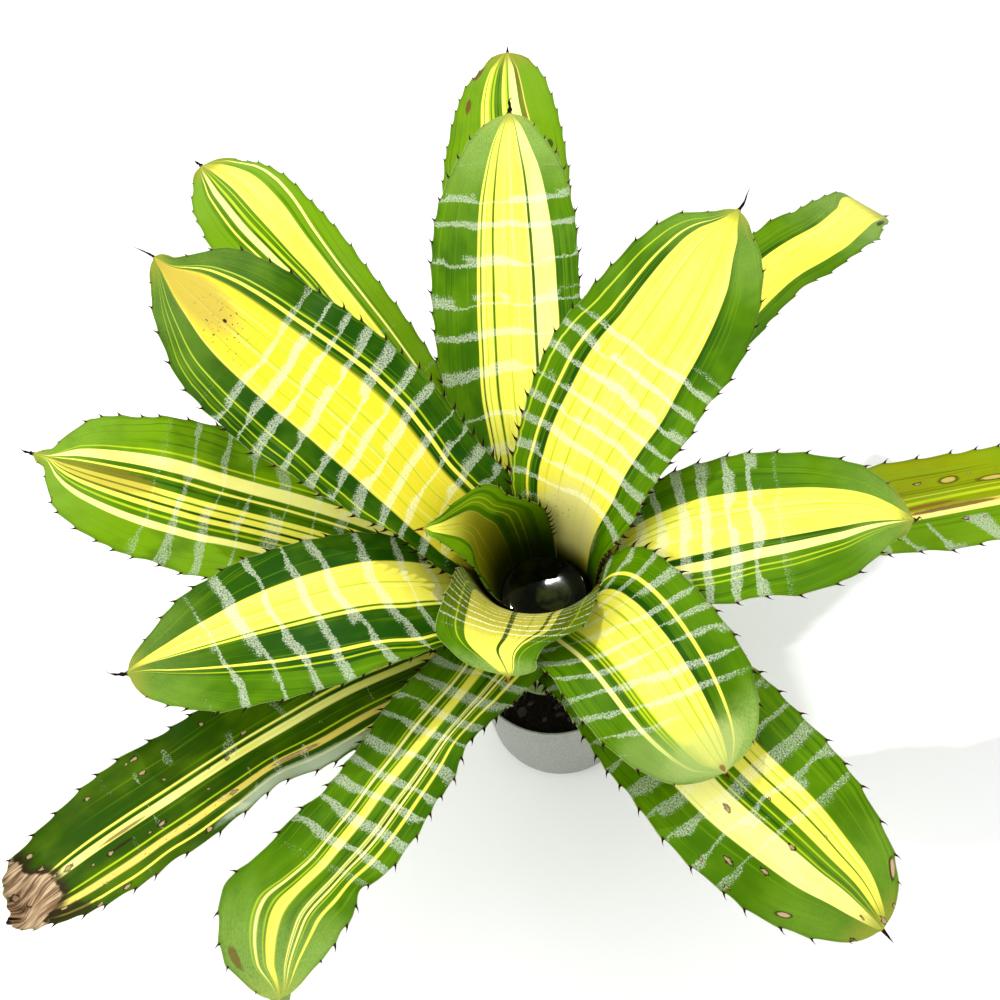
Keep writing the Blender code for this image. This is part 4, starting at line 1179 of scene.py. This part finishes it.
# The low right leaf: the oldest on its side, yellowed, with brown-edged scars and whitish bands.
grow(Leaf("leaf_15_low_right", 8, 359, 0.064, 0.310, 26, 9, -8, 0, 0, 0, 0.039, 0, 42),
     ground=((0.0, "fresh"), (0.37, "cream"), (0.42, "straw"), (0.46, "olive"), (0.53, "lime"),
             (0.56, "olive")), lines=((0.60, 0.004, "lime"),),
     bands=(0.0207, 0.70, 0.55, 0.0, 1.2, 1.0, 0.35, 0.33),
     left=((0.5, 0.67), (0.6, 0.79), (0.7, 0.91), (0.8, 1.0)),
     right=((0.6, 0.93), (0.7, 0.87), (0.8, 0.96)), bloom_and_sheen=0.0, damage=0.26, age=0.6,
     stains=((0.44, 0.70, 0.025, 0.10, "brown", 0.85), (0.50, 0.66, 0.020, 0.06, linear(140, 52, 30), 0.7),
             (0.72, 0.71, 0.045, 0.022, "dark", 0.85), (0.72, 0.71, 0.030, 0.015, "straw", 0.7),
             (0.66, 0.79, 0.035, 0.035, "dark", 0.85), (0.66, 0.79, 0.022, 0.026, "straw", 0.7)))

# The low back leaf, with a brown dead line and a blunt end.
grow(Leaf("leaf_16_low_back", 8, 85, 0.062, 0.382, 32, 17, -6, -4, 0, 0, 0.048, -0.10, 42),
     ground=((0.0, "fresh"), (0.30, "straw"), (0.315, "brown"), (0.365, "cream"), (0.45, "lime"),
             (0.50, "yellow"), (0.54, "green"), (0.62, "lime"), (0.68, "yellow"), (0.75, "fresh")),
     lines=((0.47, 0.006, "green"), (0.58, 0.008, "deep"), (0.65, 0.006, "green"), (0.72, 0.004, "green")),
     bands=(0.018, 0.5, 0.5, 0.0, 0.6, 0.3, 0.0), thorn=0.0036,
     drift=((0.8, -0.03, 1.0), (0.87, 0.0, 1.0), (0.95, 0.02, 1.0), (1.0, 0.03, 0.7)), bloom_and_sheen=0.1,
     damage=0.05, age=0.5,
     stains=((0.88, 0.86, 0.03, 0.02, "brown", 0.9), (0.92, 0.945, 0.05, 0.022, "brown", 0.9),
             (0.16, 0.76, 0.03, 0.012, "dark", 0.8), (0.82, 0.77, 0.03, 0.016, "dark", 0.8),
             (0.82, 0.77, 0.018, 0.009, "papery", 0.9)))


# --- Tank water -------------------------------------------------------------------------------------
# Rain water held by the innermost sheaths. It is dark with tannin, and its surface curls up a little
# where it wets the leaf.

WATER_TOP = 0.214
WATER_BOTTOM = 0.142
WATER_GAP = 0.0007
WATER_ROUND_STEPS = 96
MENISCUS = 0.0006


def water_finish():
    """Clear dark water over brown debris: glossy, with a faint clouding and painted reflections."""
    material, tree, shader = new_material("tank_water", 0.02)
    shader.inputs["Specular IOR Level"].default_value = 0.04
    place = add(tree, "ShaderNodeTexCoord").outputs["Object"]
    clouds = noise(tree, place, (130, 130, 40), 3.0)
    # A lighter round patch off the middle is a painted reflection.
    middle = add(tree, "ShaderNodeVectorMath", {0: place, 1: (0.006, -0.001, WATER_TOP)},
                 operation="DISTANCE")
    dim = mixed(tree, ranged(tree, clouds, 0.4, 0.7), linear(5, 8, 0), linear(16, 21, 2))
    painted_reflection = mixed(tree, ranged(tree, clouds, 0.3, 0.7), linear(20, 28, 4), linear(64, 72, 26))
    dim = mixed(tree, ranged(tree, middle.outputs["Value"], 0.0125, 0.0105, 0.0, 0.7), dim, painted_reflection)
    # Towards the edge the water takes a painted reflection of the shaded leaf walls.
    wall = mixed(tree, ranged(tree, clouds, 0.3, 0.7), linear(10, 12, 1), linear(30, 33, 4))
    shade = mixed(tree, ranged(tree, middle.outputs["Value"], 0.018, 0.026), dim, wall)
    surfaced(tree, shader, shade, noise(tree, place, (60, 60, 60), 1.0), 0.02, 0.001)
    return material


wall = leaf_line(HEART, np.linspace(0.0, HEART.sheath, 60), PLAIN_TIP)["midrib"]
heights = np.linspace(WATER_TOP, WATER_BOTTOM, 14)
radii = np.interp(heights, wall[:, 2], np.hypot(wall[:, 0], wall[:, 1])) - WATER_GAP
meniscus = [(radii[0] * share, WATER_TOP - MENISCUS + MENISCUS * share ** 8)
            for share in np.linspace(0.1, 0.98, 14)]
profile = [(0.0, WATER_TOP - MENISCUS), *meniscus, *zip(radii, heights), (0.0, WATER_BOTTOM)]
water = new_object("held_water", turned_points(profile, WATER_ROUND_STEPS),
                   turned_faces(len(profile), WATER_ROUND_STEPS), water_finish())
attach(water, "root")
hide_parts("tank_water")


# --- Table, light and camera ------------------------------------------------------------------------
# A plain white table under soft daylight from the left, seen from above and in front. The tank water
# mirrors a small high pane.

FLOOR_HALF = 6.0
FLOOR_DROP = 0.0004
floor_material, tree, shader = new_material("white_table", 0.6)
place = add(tree, "ShaderNodeTexCoord").outputs["Object"]
tree.links.new(mixed(tree, noise(tree, place, (3, 3, 3)), linear(248, 248, 250), linear(252, 252, 253)),
               shader.inputs["Base Color"])
corners = [(x * FLOOR_HALF, y * FLOOR_HALF, -FLOOR_DROP) for x, y in ((-1, -1), (1, -1), (1, 1), (-1, 1))]
floor = new_object("table_top", corners, [[0, 1, 2, 3]], floor_material, False)

scene = bpy.context.scene
world = bpy.data.worlds.new("soft_room")
world.use_nodes = True
world.node_tree.nodes["Background"].inputs[0].default_value = (1.0, 1.0, 1.0, 1.0)
world.node_tree.nodes["Background"].inputs[1].default_value = 1.0
scene.world = world
scene.view_settings.view_transform = "Standard"


def soft_light(name, place, target, width, height, power):
    """An oblong area light at a place, turned towards a target."""
    light = bpy.data.lights.new(name, "AREA")
    light.shape = "RECTANGLE"
    light.size = width
    light.size_y = height
    light.energy = power
    made = bpy.data.objects.new(name, light)
    made.location = place
    direction = np.array(target) - np.array(place)
    made.rotation_euler = mathutils.Vector(direction).to_track_quat("-Z", "Y").to_euler()
    scene.collection.objects.link(made)


soft_light("window_light", (-1.5, -0.3, 1.6), (0.0, 0.05, 0.2), 1.1, 1.1, 20.0)
soft_light("high_pane", (0.071, 0.663, 1.563), (0.014, 0.010, 0.213), 0.060, 0.018, 9.0)

# The lens looks down along +Y and is rolled, with the pot's rim right of and below the middle of view.
# RIM_RIGHT and RIM_DOWN are the slopes of the line from the lens to the middle of the rim.
LENS = 43.2
SENSOR = 36.0
ELEVATION = np.radians(60.0)
CAMERA_ROLL = np.radians(11.1)
POT_RIM_DISTANCE = 0.870
RIM_RIGHT, RIM_DOWN = 0.0442, 0.1292

ahead = np.array([0.0, np.cos(ELEVATION), -np.sin(ELEVATION)])
level = np.array([1.0, 0.0, 0.0])
down = np.array([0.0, -np.sin(ELEVATION), -np.cos(ELEVATION)])
right = np.cos(CAMERA_ROLL) * level + np.sin(CAMERA_ROLL) * down
drop = -np.sin(CAMERA_ROLL) * level + np.cos(CAMERA_ROLL) * down
spot = np.array([0.0, 0.0, POT_HEIGHT]) - POT_RIM_DISTANCE * (ahead + RIM_RIGHT * right + RIM_DOWN * drop)
camera_data = bpy.data.cameras.new("camera")
camera_data.lens = LENS
camera_data.sensor_width = SENSOR
camera_data.clip_end = 30.0
camera = bpy.data.objects.new("camera", camera_data)
turn = mathutils.Matrix(np.array([right, -drop, -ahead]).T.tolist())
camera.matrix_world = mathutils.Matrix.Translation(spot.tolist()) @ turn.to_4x4()
scene.collection.objects.link(camera)
scene.camera = camera
